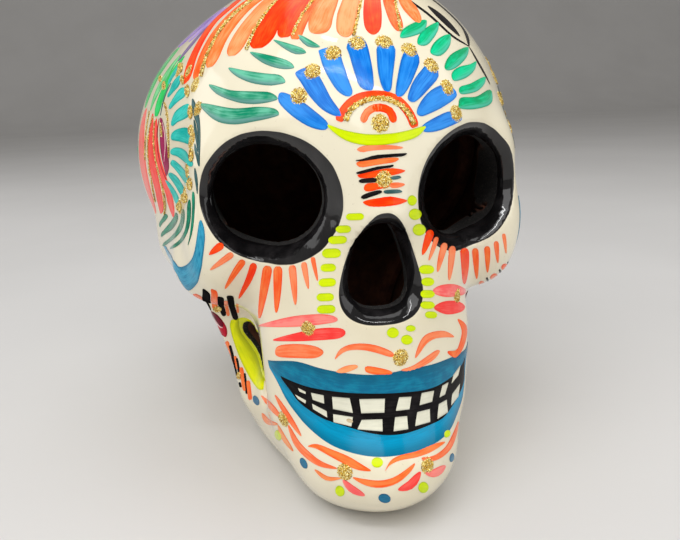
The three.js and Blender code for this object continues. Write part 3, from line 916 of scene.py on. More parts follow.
BRIDGE = [
    ("coral", [(357, 149.6), (361, 146.4), (370, 144.8), (382, 144.6), (395, 145.4), (403, 147.4),
     (398, 149.2), (384, 149.8), (370, 151), (362, 152.4)]),
    ("orange", [(356.6, 162.6), (362, 160.6), (374, 159.2), (388, 157.6), (397, 157.6), (398.4, 159.6),
     (394, 162.4), (384, 164), (372, 166), (362, 167.6), (357.6, 166)]),
    ("red_orange", [(357.6, 175), (364, 173), (374, 170.6), (384, 168.6), (394, 168), (405, 170.4),
     (400, 173.6), (390, 176), (378, 177.4), (366, 178.4), (360, 178)]),
    ("red_orange", [(364, 187.4), (366, 183.6), (374, 182.6), (384, 183.4), (388, 187), (378, 189.6),
     (370, 191.8), (365, 191)]),
    ("coral", [(389, 184), (395, 182.2), (403, 183), (404.4, 185), (400, 187.4), (392, 188.2)]),
    ("red_orange", [(363, 202.4), (368, 199.8), (380, 197.6), (390, 196.2), (398, 197.6), (407, 200.4),
     (401, 204), (392, 206), (380, 207), (369, 206.4)]),
    ("black", [(355.4, 160.4), (362, 159), (368, 157), (376, 154.8), (388, 154), (396, 153.4),
     (406.6, 153.2), (403, 156.4), (396, 157), (384, 158), (374, 159.6), (362, 161.4)]),
    ("black", [(356.2, 172.6), (360, 171), (368, 168.8), (378, 166.2), (386, 165.6), (393, 164.6),
     (392, 167.4), (384, 168.6), (374, 170.8), (364, 173.6), (358, 174.2)]),
    ("black", [(358.8, 181), (361, 179), (368, 178), (375, 177.8), (377.4, 180), (375.6, 182.2),
     (368, 183), (361, 183)]),
    ("slate_green", [(388, 178), (394, 176), (399.6, 175.6), (400.4, 178.2), (394, 179.8)]),
    ("black", [(361, 197), (364, 194.2), (372, 191.4), (380, 190), (382, 192.4), (378, 194.6),
     (370, 197.4), (363.6, 199.4)]),
    ("slate_green", [(384, 190.6), (391, 189.4), (400, 189.6), (401, 192.6), (392, 193.8), (385, 193.6)]),
]
LEFT_LASHES = [
    ("red_orange", 8.5, (223, 244), (209, 254.7)),
    ("coral", 7, (233, 253.5), (210, 270)),
    ("orange", 7.5, (244, 260), (236, 271), (224.9, 288.8)),
    ("red_orange", 8, (254.5, 263), (249, 279), (238.7, 298.6)),
    ("orange", 10, (268, 265.5), (264, 290), (259.4, 318.6)),
    ("orange", 9.4, (278, 266), (277.5, 290), (276.4, 313)),
    ("coral", 8, (292, 265), (294, 285), (295.6, 305)),
    ("coral", 6.5, (303.5, 262), (306, 276), (308.5, 289)),
    ("coral", 5, (312.4, 257), (315, 269), (317.6, 281)),
]
RIGHT_LASHES = [
    ("red_orange", 8.5, (431, 230), (427, 242), (422.3, 255)),
    ("coral", 5, (436.8, 237), (433, 249), (428.7, 260.5)),
    ("coral", 7, (445, 243), (441, 257), (437.4, 272)),
    ("coral", 7, (452.5, 246), (451, 262), (449, 280.5)),
    ("red_orange", 9, (464.4, 248), (465, 266), (464.2, 284.5)),
    ("orange", 7, (475, 248), (476, 263), (476.7, 279)),
    ("orange", 6.5, (487, 246), (487.6, 259), (487.4, 272.5)),
    ("coral", 5.5, (496, 241), (497, 252), (497.8, 263)),
    ("coral", 4, (503.6, 233.5), (505, 243), (506, 253.5)),
]
LIME_DASHES = [
    (7.5, (346, 217), (364, 216.5)), (8, (336, 229.5), (351, 229)), (8.5, (328.5, 240.5), (347, 239.5)),
    (10, (322, 253.5), (341, 253)), (8.5, (320.5, 268), (336, 267.5)), (9, (318.5, 283), (336, 282)),
    (8.5, (316.5, 297.5), (334, 297)), (9, (317, 309.5), (335.5, 309)),
    (9.5, (419, 269.5), (434, 269.5)), (9, (421.5, 281.8), (434, 281.8)),
    (8.5, (420.5, 294), (434.5, 294)), (8, (420.5, 305), (434.5, 305.3)),
    (7.5, (425, 314.6), (437, 315.2)),
]
LIME_DOTS = [  # middle, half sizes and turn in degrees
    (412, 200.5, 4.5, 5.5, 0), (415, 214.3, 6.2, 6, 0), (419, 229.8, 6.4, 6.2, 0),
    (392.8, 332.8, 6, 5.5, 0), (410.7, 328.4, 4.8, 3.5, 0), (406.8, 339.8, 5.8, 5.2, 0),
    (377.2, 462.5, 5.8, 5.4, 0), (278.2, 435.2, 3.2, 5.6, -20), (340, 491, 4.4, 5.8, -25),
    (423.3, 487.4, 5, 5.8, 20), (447, 433.7, 3, 4.2, 25),
]
BLUE_DOTS = [
    (303.8, 463.2, 3, 6.2, -28), (384.5, 498.3, 6.2, 4.6, 12), (451.8, 457.6, 2.2, 4.8, 12),
    (256.2, 400.4, 2.7, 5.4, -24),
]
CHEEK_STROKES = [
    ("pink", [(258.8, 326), (272.9, 320.8), (295.8, 315.7), (322, 314), (335.6, 317), (335, 322),
     (309, 326), (283, 327.2)]),
    ("rose", [(272.9, 340), (293.3, 333.5), (318.8, 328.2), (340, 328), (345.5, 333), (339, 338.5),
     (318.8, 340.5), (293.3, 341.4)]),
    ("pink", [(433, 290), (441, 285), (455, 284.2), (465.8, 289.5), (463, 295), (447, 297.2),
     (436, 294.5)]),
    ("rose", [(434, 308), (443, 301.5), (457, 300.8), (464.5, 306), (461, 312), (446, 314.5)]),
    ("coral", [(275.4, 352), (279, 345.5), (297, 343.8), (315, 346), (323.5, 352), (316, 358),
     (297, 358.2), (279, 357)]),
    ("coral", [(334.9, 359.3), (339.5, 349.7), (350.2, 344.3), (364, 343.4), (377.8, 345.6), (392.3, 352),
     (391.5, 357.2), (376.2, 353), (362.5, 350.2), (348.7, 350.6), (341, 354.2)]),
    ("coral", [(415, 357.8), (418.3, 345.3), (425.2, 334.8), (437.5, 330.8), (447, 331.6), (454, 337),
     (445, 337.4), (434.4, 339), (426, 344.6), (419.9, 353)]),
    ("orange", [(457.5, 319), (465.3, 324), (467, 333), (462.6, 349), (454.8, 357.6), (446.2, 351),
     (455.5, 351), (460, 341), (461.6, 330)]),
    ("coral", [(401, 370), (413, 365.5), (425, 357.5), (436, 350.2), (439.6, 351.8), (434, 359.6),
     (423, 366.4), (410, 371)]),
    ("orange", [(364.8, 368.5), (367.5, 366), (379, 367.6), (391, 371), (390, 374.5), (375, 374.6),
     (366.5, 372.5)]),
    ("peach", [(336.4, 371.3), (345, 366), (355.5, 364.6), (357.5, 367.6), (350, 371.4), (342, 373.4)]),
]
CHEEK_BARS = [  # colour, width and lead in millimetres, path; first the cheek, then the jaw below it
    ("coral", 3.4, 0, (195.4, 299.4), (199, 297.8), (202, 297)),
    ("black", 2.3, 0, (206.2, 290.2), (206.4, 296), (206.8, 302.3)),
    ("orange", 1.8, 0, (213.8, 289.4), (214.4, 297), (214.6, 304.3)),
    ("black", 1.7, 0, (220.6, 296.8), (220.9, 302), (221.2, 305.3)),
    ("coral", 1.0, 0, (226, 300.6), (226.5, 306.3)),
    ("black", 1.7, 0, (229.8, 295.4), (231, 302), (231.9, 306.3)),
    ("coral", .7, 0, (237.4, 303.6), (237.6, 307.3)),
    ("black", 2.2, 1.4, (207.6, 303.4), (208.8, 310)),
    ("orange", 2.0, 1.4, (214.6, 305.4), (214.6, 310.6)),
    ("black", 1.8, 1.2, (221.6, 306.4), (224, 316)),
    ("coral", 1.1, 1.0, (226.8, 307.4), (228.2, 316)),
    ("black", 1.9, 1.2, (232.2, 307.4), (234, 313), (236.4, 320)),
    ("coral", .8, 1.0, (237.6, 308.4), (238, 313)),
]
SIDE_GLITTER = [(217.8, 309, 4.0, 2.8), (239.2, 375.6, 1.7, 3.4)]
RIGHT_CHEEK_BARS = [
    ("coral", 6.0, (479, 285.6), (484.4, 282.3)), ("black", 2.4, (486.6, 277.4), (488.4, 282)),
    ("coral", 5.6, (490.6, 278.8), (497.4, 274.6)), ("black", 2.2, (499.4, 269.4), (501, 273.4)),
    ("orange", 6.4, (502, 269.4), (507.6, 264.6)), ("black", 2.0, (508, 261.6), (508.8, 265.2)),
]
JAW_BARS = [
    ("orange", 4.2, (226.8, 341), (228.6, 351), (230.4, 363)),
    ("black", 2.6, (229.8, 345), (233.2, 358), (236.8, 378.4)),
    ("orange", 3.6, (234.6, 356), (236.4, 362), (237.8, 369)),
    ("black", 2.6, (236.6, 358), (238, 365), (239.4, 373.4)),
    ("orange", 4.2, (241, 367), (243, 379), (245.2, 391)),
    ("black", 2.4, (244.6, 373), (245.8, 383), (246.9, 394)),
    ("orange", 4, (248, 380.4), (249.2, 390), (250.4, 400)),
    ("black", 2.4, (239.6, 382), (241, 387.4)),
]
RECESS_OUTER = [(231, 319.4), (229.8, 326), (232.6, 338), (236.6, 350), (241.4, 362), (247, 373),
    (253, 383), (258.6, 389.6), (264, 389.6)]
RECESS_INNER = [(239, 317.6), (239, 324), (240.4, 331.6), (246, 339.4), (252, 347.4), (257.4, 357),
    (260.4, 368), (262, 375), (264.6, 379)]
CRIMSON_PATCH = [(205, 309), (210, 310.4), (216, 313.6), (221.4, 319), (225.8, 325.6), (227.4, 332),
    (225.4, 337), (219, 331.6), (212.6, 323), (207.6, 315)]
CRIMSON_HEART = [(212, 311.6), (217, 314.4), (222, 320), (223.8, 325), (221.4, 327), (217, 321.4),
    (213.4, 316)]
CRIMSON_LINE = [(210.6, 311.6), (214.4, 318.6), (219.6, 325.6), (223, 327.6)]
CHIN_STROKES = [
    ("coral", [(261.2, 395.6), (269, 400.6), (276.6, 408.8), (281.6, 417.4), (276, 415), (268, 406.6)]),
    ("peach", 5, [(262, 413), (268, 421.5), (278, 424.4)]),
    ("peach", 4.4, [(278, 425), (284, 438), (293.5, 451.5)]),
    ("coral", 5.6, [(275, 394.6), (283, 408), (292, 422), (301.5, 436.4)]),
    ("coral", 7, [(288.2, 424.6), (297.2, 443.6), (310.4, 457.2), (322.1, 464.4), (337.4, 468.6)]),
    ("orange", [(308, 446.4), (316.3, 443.8), (331, 449), (348.6, 456.2), (361.8, 464.2), (371, 470.8),
     (357.4, 470), (342.7, 463.4), (328, 455.4), (316.3, 448.8)]),
    ("orange", [(385, 471.4), (391, 460.2), (401.4, 454.6), (416, 451), (429.2, 445.2), (443.4, 441.6),
     (443.4, 444), (430.7, 452.4), (416, 457.6), (399.9, 460.6), (389.6, 465.6)]),
    ("orange", [(352.6, 477.4), (364.7, 479), (380, 480.4), (394, 477), (406, 469.4), (414.8, 463.2),
     (411, 471.4), (398, 483), (381, 488), (365, 485.4)]),
    ("coral", [(421.6, 457.4), (425, 461.4), (438, 459.6), (450.4, 449.4), (456.6, 434), (458.4, 421),
     (453, 433), (446, 446), (436, 454.4), (427, 457)]),
    ("peach", 4.6, [(314.6, 469.4), (327, 478.4), (341.2, 478.2)]),
    ("pink", 7.4, [(342.7, 479.6), (352, 489), (365, 495.6)]),
    ("rose", 9, [(398, 490), (411, 484.4), (420.6, 471.6)]),
    ("pink", 8.4, [(424.8, 473), (435, 473), (445.4, 465.6)]),
]
LIP_UPPER = [(267.6, 360), (293.6, 361), (320, 368), (347, 373), (378, 374.4), (408, 369), (439, 362),
    (465, 349)]
LIP_LOWER = [(269, 366), (277, 380.5), (289, 403.5), (304, 423), (326, 442), (350, 452.5), (375, 457),
    (399, 455.5), (424, 449), (444, 437), (454, 422), (462, 399)]
MOUTH_UPPER = [(280, 375), (307, 386), (332, 390.5), (372, 393), (402, 392), (433, 387), (454, 374),
    (464, 359)]
MOUTH_LOWER = [(281.6, 378), (290.5, 390), (301, 403.5), (320, 417), (350, 428), (372, 434), (387, 435.6),
    (405, 434), (428, 426), (445, 416), (457, 397), (463.4, 380)]
TEETH = [
    [(298, 387), (306.4, 391.4), (306.4, 394), (300, 391.6)],
    [(311, 392), (324.4, 394.6), (325, 404), (313, 399.6)],
    [(332, 396), (350, 397.4), (353.6, 413.4), (333, 409)],
    [(358.8, 398.4), (385.2, 398), (384.6, 413), (361, 413.6)],
    [(398.6, 396.6), (411.4, 396), (409.4, 409.6), (395, 411.4)],
    [(421, 392.4), (433.8, 390), (431.6, 402), (418.6, 405.8)],
    [(441.6, 385), (448, 381.4), (444.4, 394.6), (438.4, 398)],
    [(452.6, 375), (459.8, 364.6), (457.4, 375.4), (450.4, 384)],
    [(295, 393.5), (307, 400), (306, 403.6), (298.6, 398.6)],
    [(312, 402.6), (327.4, 410.6), (328, 418), (313.4, 409)],
    [(333, 413.4), (353.6, 416.4), (351.8, 427), (333.6, 422.4)],
    [(361.6, 419.4), (382.6, 418.6), (383, 432), (357, 429.6)],
    [(394.6, 416.6), (407, 415.4), (408.4, 429.6), (393, 432)],
    [(416.6, 411.6), (429.4, 408.4), (430, 422.4), (414.4, 426.8)],
    [(438, 403.6), (446, 399), (447.4, 412.6), (436.6, 419.6)],
    [(451.4, 393.6), (459.4, 382.6), (457.6, 396.6), (450.4, 406)],
]
TEMPLE_SLATE = [
    [(192.6, 98.5), (196, 104.5), (198.8, 113), (200.2, 124), (200.6, 140), (200, 156), (199.6, 167),
     (198.6, 156), (198.4, 145), (197.6, 133), (196.8, 124), (193.6, 116), (191.8, 108)],
    [(194, 119.6), (196, 124), (197.2, 132), (198, 142), (198, 152), (196.6, 145), (195, 135),
     (194, 127)],
    [(195, 143.5), (197.2, 150), (198.8, 158), (199.2, 166), (197.8, 164), (196, 157), (194.4, 150)],
    [(194.8, 168), (196.8, 173), (198, 182), (197.4, 194), (196, 186), (194.4, 176)],
]
TEMPLE_CURVES = [
    [(165, 214), (168, 216), (166, 220), (162.5, 223.5), (160, 227), (159.4, 223), (162, 218.6)],
    [(176, 212.5), (178, 216), (177, 222), (172, 229.6), (166, 233.6), (161.6, 236.8), (161.6, 233),
     (165, 228.6), (170, 222.6), (174, 217)],
    [(183, 209), (184.6, 213), (184, 223), (180, 232.6), (173, 239.6), (163.8, 246.2), (163.6, 243),
     (169, 238.6), (175.6, 231.6), (180.2, 222), (181.4, 214)],
    [(189.4, 199.4), (191, 204), (190.8, 218), (188.4, 230), (183.6, 240), (177, 246.4), (170.2, 249),
     (172, 246), (179.4, 240), (184.6, 231), (187, 219), (187.4, 206)],
    [(193, 191.5), (194.8, 195), (195, 206), (194, 222), (192, 234), (188, 245.4), (189.8, 236),
     (191.2, 224), (192.2, 208), (192, 197)],
]
TEMPLE_PETALS = [
    [(180, 63), (178.4, 70), (173.6, 77), (168.8, 84.6), (168, 80), (171, 73), (176, 66)],
    [(179.5, 75.5), (181, 79), (179, 86), (174, 91.5), (168.6, 97.3), (167.6, 95), (170, 90), (172, 84),
     (175.5, 79)],
    [(184, 87.5), (186.5, 90), (185, 96.5), (179, 101), (174, 105.5), (170.5, 109), (168.8, 107.5),
     (170.5, 103), (174, 97), (177.5, 91.5), (181, 88)],
    [(188.6, 104), (189.8, 109), (189, 116), (184, 119.5), (178, 122), (173, 126), (171.2, 124),
     (172.2, 119), (175, 112), (180, 107.5), (185, 104.6)],
    [(185, 127.3), (189, 129), (192.6, 136), (191.6, 143), (188.4, 144.4), (183, 142.6), (176, 141),
     (171.8, 140), (171.2, 136), (173.4, 131.6), (178.4, 128.6)],
    [(176.5, 147.3), (182, 148.3), (186.8, 152), (189.6, 158), (193, 162.6), (192.4, 166), (189.6, 166.4),
     (184, 161.6), (177.4, 156.6), (171.6, 154.6), (170.6, 151.4), (172.8, 148.4)],
    [(172.6, 160), (177, 162), (182, 167), (187.4, 173.4), (189.6, 178), (188.4, 183), (184.6, 182),
     (179.6, 175), (174.4, 168.4), (170.6, 164)],
    [(170, 172.6), (174.6, 174.4), (179.4, 179.4), (184, 187.4), (185.6, 191.5), (183, 196), (180, 193.8),
     (176, 186.6), (171.6, 180), (168.6, 175.4)],
    [(165.4, 180), (168, 181), (172.6, 186.4), (177.4, 194), (179.4, 200.5), (178, 204.5), (175.4, 202.4),
     (171.6, 193.6), (167.4, 186.5)],
]
PETAL_GOLD = [
    (180.6, 68, 2.0, 4.6), (182.8, 80, 1.7, 4.4), (187.6, 91, 2.0, 6.0), (190.8, 112, 2.0, 6.6),
    (191.4, 130.5, 2.2, 5.0), (191.6, 155, 2.0, 6.4), (190, 184, 2.4, 6.0), (184.8, 198, 2.8, 5.0),
    (179.6, 206.6, 2.4, 4.4), (164.4, 86, 1.6, 3.8), (160.8, 79, 1.2, 3.0),
]
TEMPLE_HEART = [
    [(160.4, 117), (159.8, 128), (160, 140), (161, 152), (163, 163), (165, 171), (166.4, 176.6)],
    [(162, 118), (164.6, 127), (166.2, 138), (167.4, 148), (168.6, 158), (169.2, 167), (167.4, 175)],
]
TEMPLE_BRUSHES = [  # colour, width in millimetres on the skull, kind of ends, level, path in pixels
    ("pink", 9.4, "leaf", 0, (147, 108), (143.6, 120), (141.8, 134), (141.6, 148), (142.6, 163),
     (146.2, 182), (151.2, 199), (156, 214)),
    ("rose", 6.9, "leaf", 0, (153, 113), (151.6, 126), (150.8, 140), (151.2, 154), (153.4, 170),
     (156.8, 185), (159.6, 199), (160.4, 213)),
    ("rose", 5.8, "tail", 0, (156.6, 118), (156, 130), (156.4, 145), (158.4, 160), (162.4, 175),
     (167.6, 190), (171, 203), (171.6, 214)),
    ("gold", .9, "leaf", 1, (150, 111), (146.8, 128), (145.4, 144), (145.6, 160)),
    ("gold", 1.1, "leaf", 1, (153.8, 116), (149.4, 132), (148.2, 146), (149, 164), (152.2, 184),
     (155.6, 202)),
    ("gold", 1.3, "leaf", 1, (155.6, 120), (154.2, 136), (155.4, 156), (159, 172), (162.8, 188),
     (165, 202), (164.6, 215)),
    ("gold", 1.1, "leaf", 1, (164.8, 103), (167, 112), (168.2, 126), (168.8, 142), (169.4, 158)),
    ("gold", 1.4, "leaf", 1, (160.8, 123), (161.8, 130), (162.6, 137)),
    ("crimson", .7, "leaf", 1, (159.6, 118), (157.6, 132), (158, 148), (160.4, 162), (164.2, 174),
     (167.2, 181)),
    ("pale_line", .6, "leaf", 1, (162.8, 121), (165.2, 134), (165.6, 148), (164.6, 162)),
    ("leaf_green", 8.0, "leaf", 0, (145.4, 108), (149.6, 94), (157, 77.4), (166.4, 63), (179, 48.6)),
    ("leaf_green", 5.6, "leaf", 0, (150.4, 111), (155, 97), (162.4, 82), (171.4, 68), (181.4, 54.6)),
    ("bright_green", 6.0, "drop", 0, (156.4, 117), (159, 104), (163.4, 92), (170, 78), (177.6, 66),
     (185, 56)),
    ("slate_green", .7, "leaf", 1, (160.6, 116), (163, 104), (166.8, 92), (171.4, 83)),
]
UPPER_PETALS = [  # colour, width and path in millimetres, as seen from above
    ("plum", 3.4, (-40.4, -13.4), (-38, -15.6), (-35.2, -17.6), (-32, -19)),
    ("violet", 6.0, (-40.6, 4.5), (-38, -1), (-34.8, -6), (-31.4, -10.4), (-27.6, -14)),
    ("violet", 4.2, (-37.4, -10), (-34.4, -13.6), (-31, -16.4), (-27.2, -18.4)),
]
BAND_OUTER = [(163.4, 245), (167, 253.4), (172, 264), (177, 274.6), (182.4, 284), (188, 290.4),
    (193, 289), (198, 282), (201.4, 268), (203.6, 252), (205, 237), (203.6, 226), (201, 219.4)]
BAND_INNER = [(165.4, 245.4), (169.4, 252.6), (174.4, 261), (179, 266.6), (183.6, 266.4), (188, 263),
    (192.8, 257), (195.6, 246), (197.6, 233), (199.2, 223), (200.6, 219.6)]


def blobs(motif, colour, outlines, mirror=False):
    for outline in outlines:
        paint(motif, colour, blob(outline), mirror=mirror)


def paint_forehead():
    blobs("forehead_fan", "blue", FAN_PETALS)
    paint("forehead_arch", "red_orange", ribbon(ARCH_OUTER, 9.5))
    paint("forehead_arch", "coral", ribbon(ARCH_INNER_LEFT, 8))
    paint("forehead_arch", "red_orange", ribbon(ARCH_INNER_RIGHT, 8.4))
    paint("forehead_arch", "gold", ribbon(ARCH_GOLD, 5), level=1)
    paint("forehead_arch", "lime", blob(BROW_CRESCENT), level=1)
    blobs("left_leaves", "teal_leaf", LEFT_LEAVES)
    blobs("right_leaves", "emerald", RIGHT_LEAVES)


def paint_crown():
    for motif, strokes in (("crown_side_strokes", CROWN_SIDE_STROKES), ("crown_strokes", CROWN_STROKES)):
        for colour, width, *path in strokes:
            paint(motif, colour, brush(path, width, "bar", photo), view=None)
    for path in CROWN_GOLD:
        paint("crown_lines", "gold", ribbon(path, 2.6), level=1)
    for colour, outline in BROAD_STROKES:
        paint("crown_strokes", colour, blob(outline))
    for width, *path in CROWN_LOOP:
        paint("crown_loop", "black", brush(path, width, "leaf", photo), view=None)


def paint_eyes_and_nose():
    for colour, outline in BRIDGE:
        paint("nose_bridge", colour, blob(outline), level=1 if colour in ("black", "slate_green") else 0)
    for colour, width, *path in LEFT_LASHES + RIGHT_LASHES:
        paint("eye_rays", colour, ribbon(path, width, "drop"))
    for width, *path in LIME_DASHES:
        paint("nose_dashes", "lime", ribbon(path, width))
    for colour, places in (("lime", LIME_DOTS), ("dot_blue", BLUE_DOTS)):
        for x, y, rx, ry, turn in places:
            paint("dots", colour, dot((x, y), rx, ry, turn))


def paint_cheeks():
    for colour, outline in CHEEK_STROKES:
        paint("cheek_strokes", colour, blob(outline))
    for colour, width, lead, *path in CHEEK_BARS:
        edges = brush(path, width, "bar", photo, lead)
        paint("cheek_bars", colour, edges, view=None, level=1 if colour == "black" else 0)
    for x, y, rx, ry in SIDE_GLITTER:
        paint("cheek_glitter", "gold", dot((x, y), rx, ry), level=2)
    for colour, width, *path in RIGHT_CHEEK_BARS:
        paint("right_cheek_bars", colour, ribbon(path, width))


def paint_jaw():
    for colour, width, *path in JAW_BARS:
        paint("jaw_bars", colour, ribbon(path, width), mirror=True)
    paint("recess_paint", "lemon", band(RECESS_OUTER, RECESS_INNER), mirror=True)
    paint("jaw_patch", "crimson", blob(CRIMSON_PATCH), mirror=True)
    paint("jaw_patch", "maroon", blob(CRIMSON_HEART), level=1, mirror=True)
    paint("jaw_patch", "pale_line", ribbon(CRIMSON_LINE, 1.1), level=2, mirror=True)
    for colour, *form in CHIN_STROKES:
        edges = blob(form[0]) if len(form) == 1 else ribbon(form[1], form[0], "leaf")
        paint("chin_strokes", colour, edges)


def mouth_edges(upper, lower, corner_steps):
    """Mouth edges as far as the hidden corner, which mirrors the one in view."""
    up_side, low_side = photo(np.array(upper)), photo(np.array(lower))
    turned = np.array((-1, 1, 1))
    up_side = np.vstack([up_side, up_side[:1] * turned])
    low_side = np.vstack([low_side, (low_side[:corner_steps] * turned)[::-1]])
    t = np.linspace(.004, .996, KNOTS * 2)
    return pick(catmull(up_side), t), pick(catmull(low_side), t)


def paint_mouth():
    paint("lips", "lip_blue", mouth_edges(LIP_UPPER, LIP_LOWER, 2), view=None)
    paint("mouth", "black", mouth_edges(MOUTH_UPPER, MOUTH_LOWER, 1), view=None, level=1)
    for corners in TEETH:
        paint("teeth", "tooth", tile(corners), level=2)
    paint("teeth", "chip", dot((350, 420.6), 3.4, 2.4, 20), level=3)


def paint_temple():
    blobs("temple_leaves", "slate_green", TEMPLE_SLATE, mirror=True)
    blobs("temple_curves", "dark_green", TEMPLE_CURVES, mirror=True)
    blobs("temple_petals", "turquoise", TEMPLE_PETALS, mirror=True)
    for x, y, rx, ry in PETAL_GOLD:
        paint("temple_gold", "gold", dot((x, y), rx, ry), level=1, mirror=True)
    paint("temple_heart", "magenta", band(*TEMPLE_HEART), mirror=True)
    for colour, width, ends, level, *path in TEMPLE_BRUSHES:
        edges = brush(path, width, ends, photo)
        paint("temple_strokes", colour, edges, view=None, level=level, mirror=True)
    for colour, width, *path in UPPER_PETALS:
        paint("temple_strokes", colour, brush(path, width, "leaf", above), view=None, mirror=True)
    paint("temple_band", "band_blue", band(BAND_OUTER, BAND_INNER), mirror=True)


# Ornament out of the photograph's sight, in the same manner
def ring(centre, radius, turns):
    """Places on a circle at these turns in degrees, with their outward ways."""
    for a in np.radians(turns):
        way = np.array((math.cos(a), math.sin(a)))
        yield np.array(centre) + way * radius, way


def even(count, start=0.0):
    return [start + 360 * k / count for k in range(count)]


def flower(motif, view, centre, petals, colours, heart, mirror=False, size=1.0):
    """Petals in two colours, a ring of dots round them and a heart."""
    for k, (at, way) in enumerate(ring(centre, 4.6 * size, even(petals))):
        path = [at, at + way * 9.4 * size]
        paint(motif, colours[k % 2], ribbon(path, 5.2 * size, "tail"), view, mirror=mirror)
    for at, way in ring(centre, 16.6 * size, even(petals, 180 / petals)):
        paint(motif + "_dots", "lime", dot(at, 1.1 * size), view, mirror=mirror)
    paint(motif, heart, dot(centre, 3.2 * size), view, mirror=mirror)


def sprays(motif, view, centre, radius, turns, colour, mirror=False, reach=8.0):
    """Leaves that stand out from a round motif."""
    for at, way in ring(centre, radius, turns):
        bend = np.array((-way[1], way[0])) * 1.2
        path = [at, at + way * reach / 2 + bend, at + way * reach]
        paint(motif, colour, ribbon(path, 4.2, "leaf"), view, mirror=mirror)


def twig():
    """A twig low on the jaw, with leaves in pairs."""
    paint("jaw_twig", "black", ribbon([(-14, 12), (5, 15), (24, 12)], .9, "leaf"), side, mirror=True)
    for k in range(5):
        at = np.array((-11 + 6.8 * k, 12.6 + 2.4 * math.sin(.7 * k)))
        for rise, colour in ((6.4, "emerald"), (-5.6, "coral")):
            path = [at, at + (1.6, rise * .6), at + (4.6, rise)]
            paint("jaw_twig", colour, ribbon(path, 2.7, "leaf"), side, mirror=True)


def paint_hidden_sides():
    temple, nape, crown = (42, 82), (0, 76), (0, 40)
    flower("side_flower", side, temple, 10, ("turquoise", "coral"), "magenta", mirror=True)
    sprays("side_leaves", side, temple, 20, range(20, 360, 40), "emerald", mirror=True, reach=9.0)
    flower("back_flower", behind, nape, 12, ("blue", "orange"), "lime", size=1.15)
    sprays("back_leaves", behind, nape, 22.5, (240, 270, 300), "teal_leaf")
    flower("crown_flower", above, crown, 12, ("coral", "peach"), "blue")
    sprays("crown_leaves", above, crown, 19.5, range(15, 360, 30), "emerald")
    for k, (at, way) in enumerate(ring(crown, 32, even(24))):
        if way[1] < .1:
            colour = ("turquoise", "pink")[k % 2]
            paint("crown_row", colour, ribbon([at, at + way * 9], 3.8, "tail"), above)
    twig()
    for turn in range(66, 295, 8):
        k = (turn // 8) % 3
        if k == 0:
            paint("nape_row", "dot_blue", dot((turn, 31), 1.6, 1.5), around)
        else:
            colour = ("orange", "black")[k - 1]
            paint("nape_row", colour, ribbon([(turn, 27), (turn, 35)], 2.2, "leaf"), around)
    for turn in range(70, 295, 12):
        paint("nape_dots", "lime", dot((turn, 41), 1.3, 1.3), around)


# Gold glitter
DAB_R, DAB_H, DAB_POWER = 1.8, .24, 2.6
DAB_RINGS, DAB_SPOKES = 7, 22
DAB_GRAINS = 420
LINE_GRAINS_PER_MM2 = 20
GRAIN_TILT, GRAIN_HEIGHT = .35, .45


def granules(name, places, ways, size=(.12, .25)):
    """Small eight-sided grains, each turned its own way, on the places given."""
    count = len(places)
    corner = np.array([(1, 0, 0), (0, 1, 0), (-1, 0, 0), (0, -1, 0), (0, 0, 1), (0, 0, -1)], float)
    upper = [(j, (j + 1) % 4, 4) for j in range(4)]
    face = np.array(upper + [(b, a, 5) for a, b, _ in upper])
    radius = rng.uniform(*size, count)
    turned = unit(ways + rng.normal(0, GRAIN_TILT, (count, 3)))
    across = unit(np.cross(turned, rng.normal(0, 1, (count, 3))))
    basis = np.stack([across, np.cross(turned, across), turned * GRAIN_HEIGHT], 1)
    points = np.einsum("vi,nij->nvj", corner, basis) * radius[:, None, None] + places[:, None]
    faces = (face[None] + len(corner) * np.arange(count)[:, None, None]).reshape(-1, 3)
    obj = make_mesh(name, points.reshape(-1, 3), faces, glitter)
    obj.data.polygons.foreach_set("use_smooth", np.zeros(len(faces), bool))
    keep_values(obj, "tone", np.repeat(rng.random(count), len(corner)))


def scatter(films, per_mm2):
    """Random places on laid films, with their normals."""
    places, ways = [], []
    for grid, normal, u, v, long, wide in films:
        count = max(int(long * wide * .6 * per_mm2), 6)
        a = rng.uniform(1, len(u) - 2.01, count)
        b = rng.uniform(0, len(v) - 1.01, count)
        i, j = a.astype(int), b.astype(int)
        f, g = (a - i)[:, None], (b - j)[:, None]
        p = (grid[i, j] * (1 - f) + grid[i + 1, j] * f) * (1 - g)
        p = p + (grid[i, j + 1] * (1 - f) + grid[i + 1, j + 1] * f) * g
        places.append(p + normal[i, j] * rng.uniform(.12, .30, (count, 1)))
        ways.append(normal[i, j])
    return np.concatenate(places), np.concatenate(ways)


